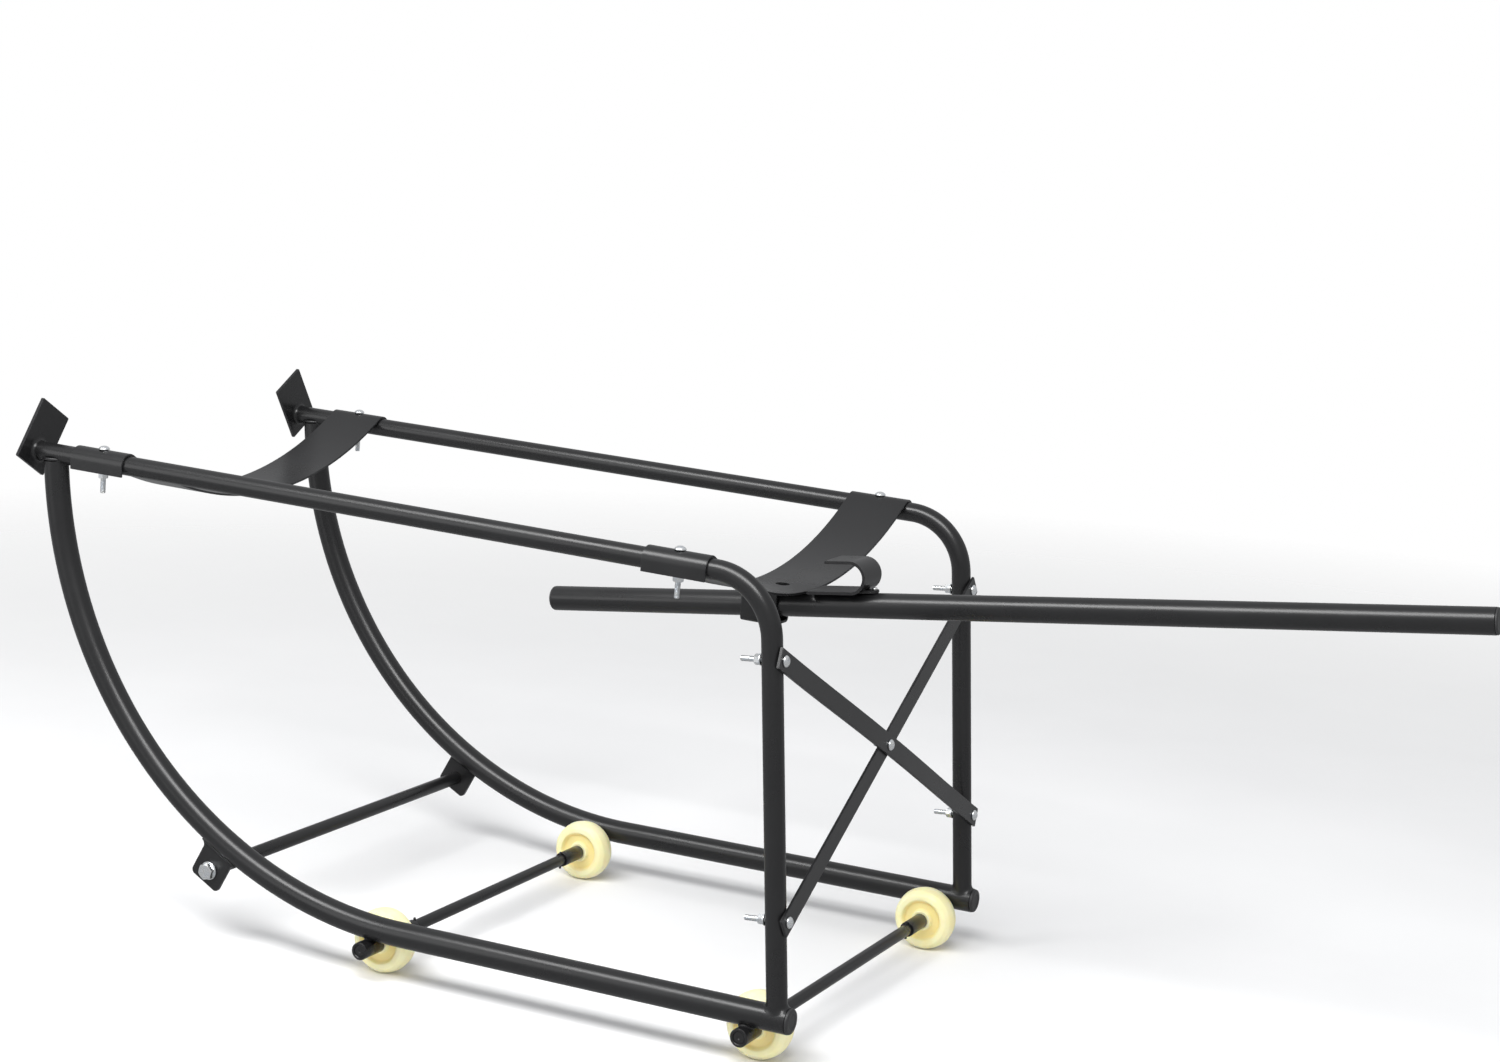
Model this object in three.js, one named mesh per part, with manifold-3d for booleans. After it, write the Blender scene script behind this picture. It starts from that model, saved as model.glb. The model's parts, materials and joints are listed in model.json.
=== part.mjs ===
// Tilting drum cradle: two bent-tube side frames on rocker arcs, joined by two saddles, a cross
// rod and a flat-bar X brace, on four nylon wheels, with a pull-out lever that hooks the drum.
// Millimetres, +Z up, floor at z = 0, +X towards the lever's grip, right side at -Y.
import * as THREE from 'three';
import { mergeVertices } from 'three/addons/utils/BufferGeometryUtils.js';
import Module from 'manifold-3d';

const wasm = await Module();
wasm.setup();

// ---- driving dimensions -------------------------------------------------------------------
const GAP = 0.3; // between pieces that touch
const HALF_WIDTH = 248.5; // centre plane of each side frame from the middle

// side frame, in its own XZ plane
const CORNER_X = 141; // where the centre lines of rail and post would cross
const CORNER_Z = 509.2;
const RAIL_TILT = THREE.MathUtils.degToRad(1.8); // the rail rises towards the rear
const POST_LEAN = THREE.MathUtils.degToRad(4.2); // the post's foot stands forward
const RAIL_OD = 22.2;
const RAIL_WALL = 1.8;
const RAIL_REAR_X = -802; // rear end of the rail's centre line
const BEND_RADIUS = 68;
const ROCKER_OD = 28;
const ROCKER_WALL = 2;
const ROCKER_Z = 58.2; // centre line of the straight bottom rail
const ROCKER_FRONT_X = 187.5;
const ARC_START_X = -285;
const ARC_RADIUS = 492;
const ROCKER_TUCK = 3; // how far the coped arc end reaches up beside the rail

// rear stop plates
const STOP_PLATE = { thick: 4, wide: 52, tall: 75, inward: 7, up: 15 };
const STOP_LEAN = THREE.MathUtils.degToRad(32.7);

// saddles
const SADDLE_FRONT_X = 36;
const SADDLE_REAR_X = -708;
const SADDLE_SHEET = 2.5;
const SADDLE_SAG = 57; // top face at mid-width below the rail centres
const SADDLE_WIDTH = 74; // along the rails
const SADDLE_DRAIN_R = 8;
const FLANGE_END = -12; // lower edge of the outer flanges, from the rail centre

// fasteners
const M6 = { shank: 3, clear: 3.4, head: 6.2, headTall: 4, nut: 10, nutTall: 6, washer: 6.2, washerTall: 1.5 };
const M10 = { shank: 5, clear: 5.4, nut: 17, nutTall: 6.4, washer: 10.5, washerTall: 2 };
const SADDLE_BOLT_TAIL = 36; // end of the thread below the rail centre
const BRACE_BOLT_TAIL = 35; // end of the thread behind the post centre
const CENTRE_BOLT_TAIL = 12;

// front X brace, measured down the leaning posts from the corner
const BRACE_TOP = 83;
const BRACE_BOTTOM = 351;
const BRACE_BAR = { wide: 22.2, thick: 3.2, overhang: 11 };

// axles, wheels and what is on them
const WHEEL_RADIUS = 36.5;
const WHEEL_WIDTH = 30;
const WHEEL_Y = 218;
const AXLE_FRONT_X = 141;
const AXLE_REAR_X = -326.5;
const AXLE_R = 6.75;
const AXLE_HALF = 267;
const RUNNING_R = 6.84; // bore that turns on the axle
const SLEEVE = { r: 10, from: 233.8, to: 268 };
const COLLAR = { r: 8.75, from: 163, to: 202.5 };
const PIN = { r: 1.6, y: 160.5, half: 10.5 };

// rear cross rod and its tabs, as polar places about the arc's centre
const ROD_POLAR = 530;
const ROD_ANGLE = THREE.MathUtils.degToRad(29);
const ROD_R = 8;
const TAB = { y: 254, thick: 4, wide: 42, outer: 547, corner: 6 };

// lever, along its own axis through (CORNER_X, LEVER_Z)
const LEVER_TILT = THREE.MathUtils.degToRad(6.33);
const LEVER_Z = 445.2;
const LEVER_OD = 28;
const LEVER_WALL = 2;
const LEVER_TAIL = -395;
const LEVER_TIP = 665.8;
const LEVER_PLUG = 3; // how far each plug stands out of the tube
const HOOK = { wide: 45, thick: 3.5, from: -65, to: 11, centre: -13, inner: 15, lip: -42, screw: 6.5 };
const BRACKET = { from: -1, to: 41, sheet: 3, floor: 413.3 };

// ---- materials ----------------------------------------------------------------------------
const BLACK = new THREE.MeshStandardMaterial({ color: 0x232325, roughness: 0.48, metalness: 0.35 });
const CAP = new THREE.MeshStandardMaterial({ color: 0x1b1b1c, roughness: 0.6, metalness: 0.0 });
const ZINC = new THREE.MeshStandardMaterial({ color: 0xc9ced2, roughness: 0.32, metalness: 0.95 });
const NYLON = new THREE.MeshStandardMaterial({ color: 0xf1e7b4, roughness: 0.42, metalness: 0.0 });

// ---- solids -------------------------------------------------------------------------------
function solid(geometry) {
  const bare = geometry.index ? geometry.clone() : mergeVertices(geometry);
  bare.deleteAttribute('normal');
  bare.deleteAttribute('uv');
  const merged = mergeVertices(bare, 1e-4);
  const vertProperties = new Float32Array(merged.attributes.position.array);
  const triVerts = new Uint32Array(merged.index.array);
  const whole = new wasm.Manifold(new wasm.Mesh({ numProp: 3, vertProperties, triVerts }));
  if (whole.volume() > 0) return whole;
  for (let i = 0; i < triVerts.length; i += 3) {
    [triVerts[i], triVerts[i + 1]] = [triVerts[i + 1], triVerts[i]];
  }
  return new wasm.Manifold(new wasm.Mesh({ numProp: 3, vertProperties, triVerts }));
}

function geometryOf(manifold) {
  const { vertProperties, triVerts } = manifold.getMesh();
  const geometry = new THREE.BufferGeometry();
  geometry.setAttribute('position', new THREE.BufferAttribute(new Float32Array(vertProperties), 3));
  geometry.setIndex(new THREE.BufferAttribute(new Uint32Array(triVerts), 1));
  geometry.computeVertexNormals();
  return geometry;
}

// a round bar or drill from one end to the other along X, Y or Z
function bar(radius, from, to, axis, sides = 16) {
  const geometry = new THREE.CylinderGeometry(radius, radius, to - from, sides);
  geometry.translate(0, (from + to) / 2, 0);
  if (axis === 'x') geometry.rotateZ(-Math.PI / 2);
  if (axis === 'z') geometry.rotateX(Math.PI / 2);
  return geometry;
}

// a solid turned about Y from [radius, y] pairs
function turned(profile, sides) {
  return new THREE.LatheGeometry(profile.map(([r, y]) => new THREE.Vector2(r, y)), sides);
}

function ring(outer, inner, from, to, sides = 16) {
  return turned([[inner, from], [outer, from], [outer, to], [inner, to], [inner, from]], sides);
}

// a path through stations that keeps each section square to its own tangent
class StationPath extends THREE.Curve {
  constructor(stations) {
    super();
    this.stations = stations;
  }

  station(u) {
    return this.stations[Math.round(u * (this.stations.length - 1))];
  }

  getPointAt(u, target = new THREE.Vector3()) {
    return target.copy(this.station(u).point);
  }

  getTangentAt(u, target = new THREE.Vector3()) {
    return target.copy(this.station(u).tangent);
  }

  getPoint(t, target) {
    return this.getPointAt(t, target);
  }
}

function tube(stations, od, wall, sides) {
  const section = new THREE.Shape().absarc(0, 0, od / 2, 0, 2 * Math.PI);
  if (wall > 0) section.holes.push(new THREE.Path().absarc(0, 0, od / 2 - wall, 0, 2 * Math.PI));
  return new THREE.ExtrudeGeometry(section, {
    steps: stations.length - 1,
    curveSegments: sides / 2,
    extrudePath: new StationPath(stations),
  });
}

function plate(shape, thick, curveSegments = 4) {
  const geometry = new THREE.ExtrudeGeometry(shape, { depth: thick, bevelEnabled: false, curveSegments });
  return geometry.translate(0, 0, -thick / 2);
}

function roundedRectangle(width, height, r) {
  const [w, h] = [width / 2, height / 2];
  const shape = new THREE.Shape();
  shape.absarc(w - r, h - r, r, 0, Math.PI / 2);
  shape.absarc(r - w, h - r, r, Math.PI / 2, Math.PI);
  shape.absarc(r - w, r - h, r, Math.PI, 1.5 * Math.PI);
  shape.absarc(w - r, r - h, r, 1.5 * Math.PI, 2 * Math.PI);
  shape.closePath();
  return shape;
}

function addMesh(group, name, shape, material) {
  const geometry = shape.isBufferGeometry ? geometryOf(solid(shape)) : geometryOf(shape);
  const mesh = new THREE.Mesh(geometry, material);
  mesh.name = name;
  group.add(mesh);
  return mesh;
}

// ---- side frame lines ---------------------------------------------------------------------
const vec = (x, z) => new THREE.Vector3(x, 0, z);
const corner = vec(CORNER_X, CORNER_Z);
const rearward = vec(-Math.cos(RAIL_TILT), Math.sin(RAIL_TILT));
const downward = vec(Math.sin(POST_LEAN), -Math.cos(POST_LEAN));
const arcCentre = vec(ARC_START_X, ROCKER_Z + ARC_RADIUS);
const railR = RAIL_OD / 2;
const rockerR = ROCKER_OD / 2;

function onRail(x) {
  return vec(x, CORNER_Z + (CORNER_X - x) * Math.tan(RAIL_TILT));
}

function onArc(radius, angle) {
  return vec(arcCentre.x - radius * Math.sin(angle), arcCentre.z - radius * Math.cos(angle));
}

function railStations() {
  const bendSteps = 6;
  const turn = Math.PI - rearward.angleTo(downward);
  const tangentLength = BEND_RADIUS * Math.tan(turn / 2);
  const start = corner.clone().addScaledVector(rearward, tangentLength);
  const forward = rearward.clone().negate();
  const inward = new THREE.Vector3(forward.z, 0, -forward.x);
  const centre = start.clone().addScaledVector(inward, BEND_RADIUS);
  const stations = [{ point: onRail(RAIL_REAR_X), tangent: forward }];
  for (let i = 0; i <= bendSteps; i += 1) {
    const angle = (turn * i) / bendSteps;
    const along = forward.clone().multiplyScalar(Math.sin(angle)).addScaledVector(inward, -Math.cos(angle));
    const tangent = forward.clone().multiplyScalar(Math.cos(angle)).addScaledVector(inward, Math.sin(angle));
    stations.push({ point: centre.clone().addScaledVector(along, BEND_RADIUS), tangent });
  }
  const foot = (CORNER_Z - ROCKER_Z) / Math.cos(POST_LEAN);
  stations.push({ point: corner.clone().addScaledVector(downward, foot), tangent: downward });
  return stations;
}

function rockerStations() {
  const arcSteps = 14;
  const backward = vec(-1, 0);
  const railAbove = onRail(arcCentre.x - ARC_RADIUS);
  const topZ = railAbove.z - railR + ROCKER_TUCK;
  const sweep = Math.acos((arcCentre.z - topZ) / ARC_RADIUS);
  const stations = [{ point: vec(ROCKER_FRONT_X, ROCKER_Z), tangent: backward }];
  for (let i = 0; i <= arcSteps; i += 1) {
    const angle = (sweep * i) / arcSteps;
    stations.push({ point: onArc(ARC_RADIUS, angle), tangent: vec(-Math.cos(angle), Math.sin(angle)) });
  }
  return stations;
}

// the space that a straight tube fills, with the fitting gap, for coping its neighbour
function clearanceAlong(from, to, radius) {
  const step = to.clone().sub(from);
  const geometry = bar(radius + GAP, 0, step.length(), 'x', 16);
  geometry.rotateY(-Math.atan2(step.z, step.x));
  geometry.translate(from.x, 0, from.z);
  return solid(geometry);
}

// ---- frames that pieces are placed in -----------------------------------------------------
const model = new THREE.Group();

function railFrame(x) {
  const group = new THREE.Group();
  group.position.copy(onRail(x));
  group.rotation.y = RAIL_TILT;
  model.add(group);
  return group;
}

function postFrame() {
  const group = new THREE.Group();
  group.position.copy(corner);
  group.rotation.y = -POST_LEAN;
  model.add(group);
  return group;
}

function leverFrame() {
  const group = new THREE.Group();
  group.position.set(CORNER_X, 0, LEVER_Z);
  group.rotation.y = -LEVER_TILT;
  model.add(group);
  return group;
}

// ---- side frames --------------------------------------------------------------------------
function topRailSolid() {
  let rail = solid(tube(railStations(), RAIL_OD, RAIL_WALL, 14));
  const bottomRail = clearanceAlong(vec(-100, ROCKER_Z), vec(ROCKER_FRONT_X + 50, ROCKER_Z), rockerR);
  rail = rail.subtract(bottomRail);
  for (const x of [SADDLE_FRONT_X, SADDLE_REAR_X]) {
    const drill = bar(M6.clear, -30, 30, 'z', 10).rotateY(RAIL_TILT).translate(x, 0, onRail(x).z);
    rail = rail.subtract(solid(drill));
  }
  for (const down of [BRACE_TOP, BRACE_BOTTOM]) {
    const place = corner.clone().addScaledVector(downward, down);
    const drill = bar(M6.clear, -30, 30, 'x', 10).rotateY(-POST_LEAN).translate(place.x, 0, place.z);
    rail = rail.subtract(solid(drill));
  }
  return rail;
}

function rockerSolid() {
  const rocker = solid(tube(rockerStations(), ROCKER_OD, ROCKER_WALL, 14));
  return rocker.subtract(clearanceAlong(onRail(RAIL_REAR_X - 20), onRail(RAIL_REAR_X + 120), railR));
}

function rockerCapSolid() {
  const spigot = rockerR - ROCKER_WALL - GAP;
  const profile = [[0, -10], [spigot, -10], [spigot, GAP], [rockerR - 0.4, GAP], [rockerR - 0.4, 1.6]];
  profile.push([rockerR - 1.6, 3], [rockerR - 4, 3.6], [0, 3.8]);
  return turned(profile, 16).rotateZ(-Math.PI / 2);
}

function tabSolid() {
  const rod = onArc(ROD_POLAR, ROD_ANGLE);
  const root = onArc(ARC_RADIUS, ROD_ANGLE);
  const outline = roundedRectangle(TAB.wide, 2 * (TAB.outer - ARC_RADIUS), TAB.corner);
  const blank = plate(outline, TAB.thick).rotateX(Math.PI / 2).rotateY(ROD_ANGLE);
  let tab = solid(blank.translate(root.x, 0, root.z));
  const outside = solid(ring(TAB.outer + 20, ARC_RADIUS, -6, 6, 64).translate(arcCentre.x, 0, arcCentre.z));
  tab = tab.intersect(outside);
  const tubeSpace = tube(rockerStations(), ROCKER_OD + 2 * GAP, 0, 16);
  const offset = TAB.y - HALF_WIDTH;
  tab = tab.subtract(solid(tubeSpace.translate(0, -offset, 0)));
  return tab.subtract(solid(bar(M10.clear, -5, 5, 'y', 16).translate(rod.x, 0, rod.z)));
}

function sleeveSolid(x) {
  const { r, from, to } = SLEEVE;
  const sleeve = solid(ring(r, RUNNING_R + 0.04, from, to, 20).translate(x, 0, WHEEL_RADIUS));
  const railSpace = tube(rockerStations(), ROCKER_OD + 2 * GAP, 0, 16).translate(0, HALF_WIDTH, 0);
  return sleeve.subtract(solid(railSpace));
}

function addSideFrame(side, label) {
  const y = side * HALF_WIDTH;
  addMesh(model, `top_rail_${label}`, topRailSolid(), BLACK).position.y = y;
  addMesh(model, `rocker_${label}`, rockerSolid(), BLACK).position.y = y;
  addMesh(model, `rocker_cap_${label}`, rockerCapSolid(), CAP).position.set(ROCKER_FRONT_X, y, ROCKER_Z);
  addMesh(model, `rod_tab_${label}`, side > 0 ? tabSolid() : tabSolid().mirror([0, 1, 0]), BLACK)
    .position.y = side * TAB.y;
  for (const [end, x] of [['front', AXLE_FRONT_X], ['rear', AXLE_REAR_X]]) {
    const sleeve = side > 0 ? sleeveSolid(x) : sleeveSolid(x).mirror([0, 1, 0]);
    addMesh(model, `axle_sleeve_${end}_${label}`, sleeve, BLACK);
  }
}

function addStopPlate(side, label) {
  const end = railFrame(RAIL_REAR_X);
  const blank = plate(roundedRectangle(STOP_PLATE.wide, STOP_PLATE.tall, 2), STOP_PLATE.thick, 2);
  blank.rotateX(Math.PI / 2).rotateZ(Math.PI / 2);
  const mesh = addMesh(end, `stop_plate_${label}`, blank, BLACK);
  mesh.rotation.x = side * STOP_LEAN;
  const y = side * (HALF_WIDTH - STOP_PLATE.inward);
  mesh.position.set(-STOP_PLATE.thick / 2 - GAP, y, STOP_PLATE.up);
}

// ---- bolts and nuts, axis along local Z with the head's bearing face at z = 0 -----------------
function panBoltSolid(size, grip) {
  const { shank, head, headTall } = size;
  const profile = [[0, -grip], [shank - 0.5, -grip], [shank, 0.6 - grip], [shank, 0], [head, 0]];
  profile.push([head, headTall * 0.35], [head * 0.72, headTall * 0.85], [0, headTall]);
  return turned(profile, 10).rotateX(Math.PI / 2);
}

function hexPrism(acrossFlats, from, to) {
  const corners = acrossFlats / Math.sqrt(3);
  return bar(corners, from, to, 'z', 6);
}

function nutSolid(size) {
  const { clear, nut, nutTall, washer, washerTall } = size;
  const base = solid(bar(washer, -washerTall, 0, 'z', 12));
  const hex = solid(hexPrism(nut, -washerTall - nutTall, 0.1 - washerTall));
  return base.add(hex).subtract(solid(bar(clear - 0.1, -20, 5, 'z', 10)));
}

function hexBoltSolid(size, grip) {
  const { shank, nut, nutTall, washer, washerTall } = size;
  const washerDisc = solid(bar(washer, 0, washerTall, 'z', 16));
  const head = solid(hexPrism(nut, washerTall - 0.1, washerTall + nutTall));
  return washerDisc.add(head).add(solid(bar(shank, -grip, 0.1, 'z', 12)));
}

// ---- saddles ------------------------------------------------------------------------------
// seen along the rails: outer flange, over the right rail, down into the bed, up and over the left rail
function saddleProfile() {
  const inner = railR + GAP;
  const outer = inner + SADDLE_SHEET;
  const radius = (HALF_WIDTH ** 2 + SADDLE_SAG ** 2 - outer ** 2) / (2 * (SADDLE_SAG + outer));
  const rise = radius - SADDLE_SAG; // height of the bed arc's centre above the rails
  const meet = Math.atan2(rise, -HALF_WIDTH); // on the right-hand rail, where wrap and bed touch
  const bed = Math.atan2(-rise, HALF_WIDTH);
  const shape = new THREE.Shape();
  shape.moveTo(HALF_WIDTH + outer, FLANGE_END);
  shape.absarc(HALF_WIDTH, 0, outer, 0, meet, false);
  shape.absarc(0, rise, radius, bed, -Math.PI - bed, true);
  shape.absarc(-HALF_WIDTH, 0, outer, Math.PI - meet, Math.PI, false);
  shape.lineTo(-HALF_WIDTH - outer, FLANGE_END);
  shape.lineTo(-HALF_WIDTH - inner, FLANGE_END);
  shape.absarc(-HALF_WIDTH, 0, inner, Math.PI, Math.PI - meet, true);
  shape.absarc(0, rise, radius + SADDLE_SHEET, -Math.PI - bed, bed, false);
  shape.absarc(HALF_WIDTH, 0, inner, meet, 0, true);
  shape.lineTo(HALF_WIDTH + inner, FLANGE_END);
  shape.closePath();
  return shape;
}

function saddleSolid() {
  const strip = plate(saddleProfile(), SADDLE_WIDTH, 6).rotateX(Math.PI / 2).rotateZ(Math.PI / 2);
  let saddle = solid(strip).subtract(solid(bar(SADDLE_DRAIN_R, -90, -30, 'z', 16)));
  for (const y of [-HALF_WIDTH, HALF_WIDTH]) {
    saddle = saddle.subtract(solid(bar(M6.clear, -5, 30, 'z', 10).translate(0, y, 0)));
  }
  return saddle;
}

function addSaddle(label, x) {
  const frame = railFrame(x);
  const bearing = railR + GAP + SADDLE_SHEET + GAP;
  addMesh(frame, `saddle_${label}`, saddleSolid(), BLACK);
  for (const [side, sideLabel] of [[-1, 'right'], [1, 'left']]) {
    const bolt = panBoltSolid(M6, bearing + SADDLE_BOLT_TAIL);
    addMesh(frame, `saddle_bolt_${label}_${sideLabel}`, bolt, ZINC)
      .position.set(0, side * HALF_WIDTH, bearing);
    addMesh(frame, `saddle_nut_${label}_${sideLabel}`, nutSolid(M6), ZINC)
      .position.set(0, side * HALF_WIDTH, -railR - GAP);
  }
}

// ---- front X brace ------------------------------------------------------------------------
const braceRun = 2 * HALF_WIDTH;
const braceDrop = BRACE_BOTTOM - BRACE_TOP;
const braceReach = Math.hypot(braceRun, braceDrop) / 2; // centre bolt to end bolt
const braceSlope = Math.atan2(braceDrop, braceRun);

// side view of a bar: flat on the posts, raised by `bow` where it crosses the other bar
function braceProfile(bow) {
  const [flat, crown, end] = [braceReach - 30, 26, braceReach + BRACE_BAR.overhang];
  const stations = [-end, -flat];
  for (let i = 1; i < 5; i += 1) stations.push(THREE.MathUtils.lerp(-flat, -crown, i / 5));
  stations.push(-crown);
  const all = stations.concat(stations.map((s) => -s).reverse());
  const lift = (s) => bow * THREE.MathUtils.smoothstep(-Math.abs(s), -flat, -crown);
  const shape = new THREE.Shape();
  all.forEach((s, i) => (i === 0 ? shape.moveTo(s, lift(s)) : shape.lineTo(s, lift(s))));
  all.reverse().forEach((s) => shape.lineTo(s, lift(s) + BRACE_BAR.thick));
  shape.closePath();
  return shape;
}

function braceSolid(bow) {
  let piece = solid(plate(braceProfile(bow), BRACE_BAR.wide));
  for (const s of [-braceReach, 0, braceReach]) {
    piece = piece.subtract(solid(bar(M6.clear, -10, 20, 'y', 10).translate(s, 0, 0)));
  }
  return piece;
}

function addBrace() {
  const frame = postFrame();
  const front = railR + GAP;
  const bow = BRACE_BAR.thick + GAP;
  const middle = -(BRACE_TOP + BRACE_BOTTOM) / 2;
  for (const [name, rise, lift] of [['brace_bar_front', -1, bow], ['brace_bar_rear', 1, 0]]) {
    const mesh = addMesh(frame, name, braceSolid(lift), BLACK);
    const along = new THREE.Vector3(0, Math.cos(braceSlope), rise * Math.sin(braceSlope));
    const outward = new THREE.Vector3(1, 0, 0);
    const across = new THREE.Vector3().crossVectors(along, outward);
    mesh.quaternion.setFromRotationMatrix(new THREE.Matrix4().makeBasis(along, outward, across));
    mesh.position.set(front, 0, middle);
  }
  const places = [];
  for (const [sideLabel, side] of [['right', -1], ['left', 1]]) {
    for (const [endLabel, down] of [['top', BRACE_TOP], ['bottom', BRACE_BOTTOM]]) {
      places.push({ label: `${endLabel}_${sideLabel}`, y: side * HALF_WIDTH, z: -down });
    }
  }
  const face = front + BRACE_BAR.thick + GAP;
  for (const { label, y, z } of places) {
    addForwardBolt(frame, `brace_bolt_${label}`, face, face + BRACE_BOLT_TAIL, y, z);
    addForwardNut(frame, `brace_nut_${label}`, -front, y, z);
  }
  addForwardBolt(frame, 'brace_bolt_centre', face + bow, face + bow + CENTRE_BOLT_TAIL, 0, middle);
  addForwardNut(frame, 'brace_nut_centre', front - GAP, 0, middle);
}

function addForwardBolt(frame, name, face, grip, y, z) {
  const mesh = addMesh(frame, name, panBoltSolid(M6, grip), ZINC);
  mesh.rotation.y = Math.PI / 2;
  mesh.position.set(face, y, z);
}

function addForwardNut(frame, name, face, y, z) {
  const mesh = addMesh(frame, name, nutSolid(M6), ZINC);
  mesh.rotation.y = Math.PI / 2;
  mesh.position.set(face, y, z);
}

// ---- axles and wheels ---------------------------------------------------------------------
function wheelProfile() {
  const half = WHEEL_WIDTH / 2;
  const groove = half - 4.5;
  const outer = [[RUNNING_R, half], [11, half], [12.5, groove], [23, groove], [25, half], [31, half - 0.6]];
  outer.push([WHEEL_RADIUS - 1.6, half * 0.55], [WHEEL_RADIUS, 3]);
  const mirrored = outer.map(([r, y]) => [r, -y]);
  return mirrored.concat(outer.reverse(), [mirrored[0]]);
}

function addAxle(label, x) {
  const place = new THREE.Group();
  place.position.set(x, 0, WHEEL_RADIUS);
  model.add(place);
  let axle = solid(bar(AXLE_R, -AXLE_HALF, AXLE_HALF, 'y', 20));
  for (const side of [-1, 1]) {
    axle = axle.subtract(solid(bar(PIN.r + 0.2, -10, 10, 'z', 10).translate(0, side * PIN.y, 0)));
  }
  addMesh(place, `axle_${label}`, axle, BLACK);
  for (const [side, sideLabel] of [[-1, 'right'], [1, 'left']]) {
    const wheel = addMesh(place, `wheel_${label}_${sideLabel}`, turned(wheelProfile(), 28), NYLON);
    wheel.position.y = side * WHEEL_Y;
    const collar = addMesh(place, `collar_${label}_${sideLabel}`,
      ring(COLLAR.r, AXLE_R + GAP, COLLAR.from, COLLAR.to, 16), BLACK);
    collar.rotation.z = side > 0 ? 0 : Math.PI;
    const pin = addMesh(place, `axle_pin_${label}_${sideLabel}`, bar(PIN.r, -PIN.half, PIN.half, 'z', 10), ZINC);
    pin.position.y = side * PIN.y;
  }
}

// ---- rear cross rod -----------------------------------------------------------------------
function addCrossRod() {
  const place = new THREE.Group();
  place.position.copy(onArc(ROD_POLAR, ROD_ANGLE));
  model.add(place);
  const inside = TAB.y - TAB.thick / 2 - GAP;
  const tapped = 25;
  const thread = solid(bar(M10.shank + GAP, inside - tapped, inside + 5, 'y', 12));
  const rod = solid(bar(ROD_R, -inside, inside, 'y', 16)).subtract(thread).subtract(thread.mirror([0, 1, 0]));
  addMesh(place, 'cross_rod', rod, BLACK);
  for (const [side, sideLabel] of [[-1, 'right'], [1, 'left']]) {
    const bolt = addMesh(place, `rod_bolt_${sideLabel}`, hexBoltSolid(M10, TAB.thick + 22), ZINC);
    bolt.rotation.x = -side * Math.PI / 2;
    bolt.position.y = side * (TAB.y + TAB.thick / 2 + GAP);
  }
}

// ---- lever, hook and bracket --------------------------------------------------------------
const leverR = LEVER_OD / 2;

function leverPlugSolid() {
  const spigot = leverR - LEVER_WALL - GAP;
  const profile = [[0, -14], [spigot, -14], [spigot, GAP], [leverR - 0.2, GAP], [leverR - 0.6, 1.6]];
  profile.push([leverR - 2.4, LEVER_PLUG - 0.4], [0, LEVER_PLUG]);
  return turned(profile, 16).rotateZ(-Math.PI / 2);
}

function hookShape() {
  const { thick, from, to, centre, inner, lip } = HOOK;
  const base = leverR + GAP;
  const middle = base + thick + inner;
  const shape = new THREE.Shape();
  shape.moveTo(from, base);
  shape.lineTo(to, base);
  shape.lineTo(to, base + thick * 0.7);
  shape.lineTo(to - 2, base + thick);
  const heel = Math.acos((middle - base - thick) / (inner + thick));
  shape.absarc(centre, middle, inner + thick, heel - Math.PI / 2, Math.PI / 2, false);
  shape.lineTo(lip, middle + inner + thick);
  shape.lineTo(lip, middle + inner);
  shape.absarc(centre, middle, inner, Math.PI / 2, -Math.PI / 2, true);
  shape.lineTo(from, base + thick);
  shape.closePath();
  return shape;
}

function bracketSolid() {
  const { from, to, sheet, floor } = BRACKET;
  const outer = leverR + 0.5 + sheet;
  const underside = SADDLE_SAG + SADDLE_SHEET + GAP;
  const depth = onRail(SADDLE_FRONT_X).z - underside - floor + sheet;
  const outline = new THREE.Shape();
  outline.moveTo(-outer, 0);
  outline.lineTo(-outer, 4 - depth);
  outline.absarc(4 - outer, 4 - depth, 4, Math.PI, 1.5 * Math.PI, false);
  outline.absarc(outer - 4, 4 - depth, 4, 1.5 * Math.PI, 2 * Math.PI, false);
  outline.lineTo(outer, 0);
  outline.lineTo(outer - sheet, 0);
  outline.lineTo(outer - sheet, sheet + 1 - depth);
  outline.lineTo(outer - sheet - 1, sheet - depth);
  outline.lineTo(sheet + 1 - outer, sheet - depth);
  outline.lineTo(sheet - outer, sheet + 1 - depth);
  outline.lineTo(sheet - outer, 0);
  outline.closePath();
  const strap = plate(outline, to - from, 3).rotateX(Math.PI / 2).rotateZ(Math.PI / 2);
  return strap.translate((from + to) / 2 - SADDLE_FRONT_X, 0, -underside);
}

function addLever() {
  const frame = leverFrame();
  const along = (s) => ({ point: vec(s, 0), tangent: vec(1, 0) });
  const pipe = solid(tube([along(LEVER_TAIL), along(LEVER_TIP)], LEVER_OD, LEVER_WALL, 20));
  const drill = solid(bar(2.4, 0, 30, 'z', 10).translate(HOOK.screw, 0, 0));
  addMesh(frame, 'lever_tube', pipe.subtract(drill), BLACK);
  addMesh(frame, 'lever_plug_front', leverPlugSolid(), CAP).position.x = LEVER_TIP;
  const rearPlug = addMesh(frame, 'lever_plug_rear', leverPlugSolid(), CAP);
  rearPlug.rotation.z = Math.PI;
  rearPlug.position.x = LEVER_TAIL;
  const strip = plate(hookShape(), HOOK.wide, 7).rotateX(Math.PI / 2);
  addMesh(frame, 'hook', solid(strip).subtract(drill), BLACK);
  const screw = { shank: 2, head: 3.2, headTall: 2.2 };
  addMesh(frame, 'hook_screw', panBoltSolid(screw, 12), ZINC)
    .position.set(HOOK.screw, 0, leverR + GAP + HOOK.thick + GAP);
  addMesh(railFrame(SADDLE_FRONT_X), 'lever_bracket', bracketSolid(), BLACK);
}

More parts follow.
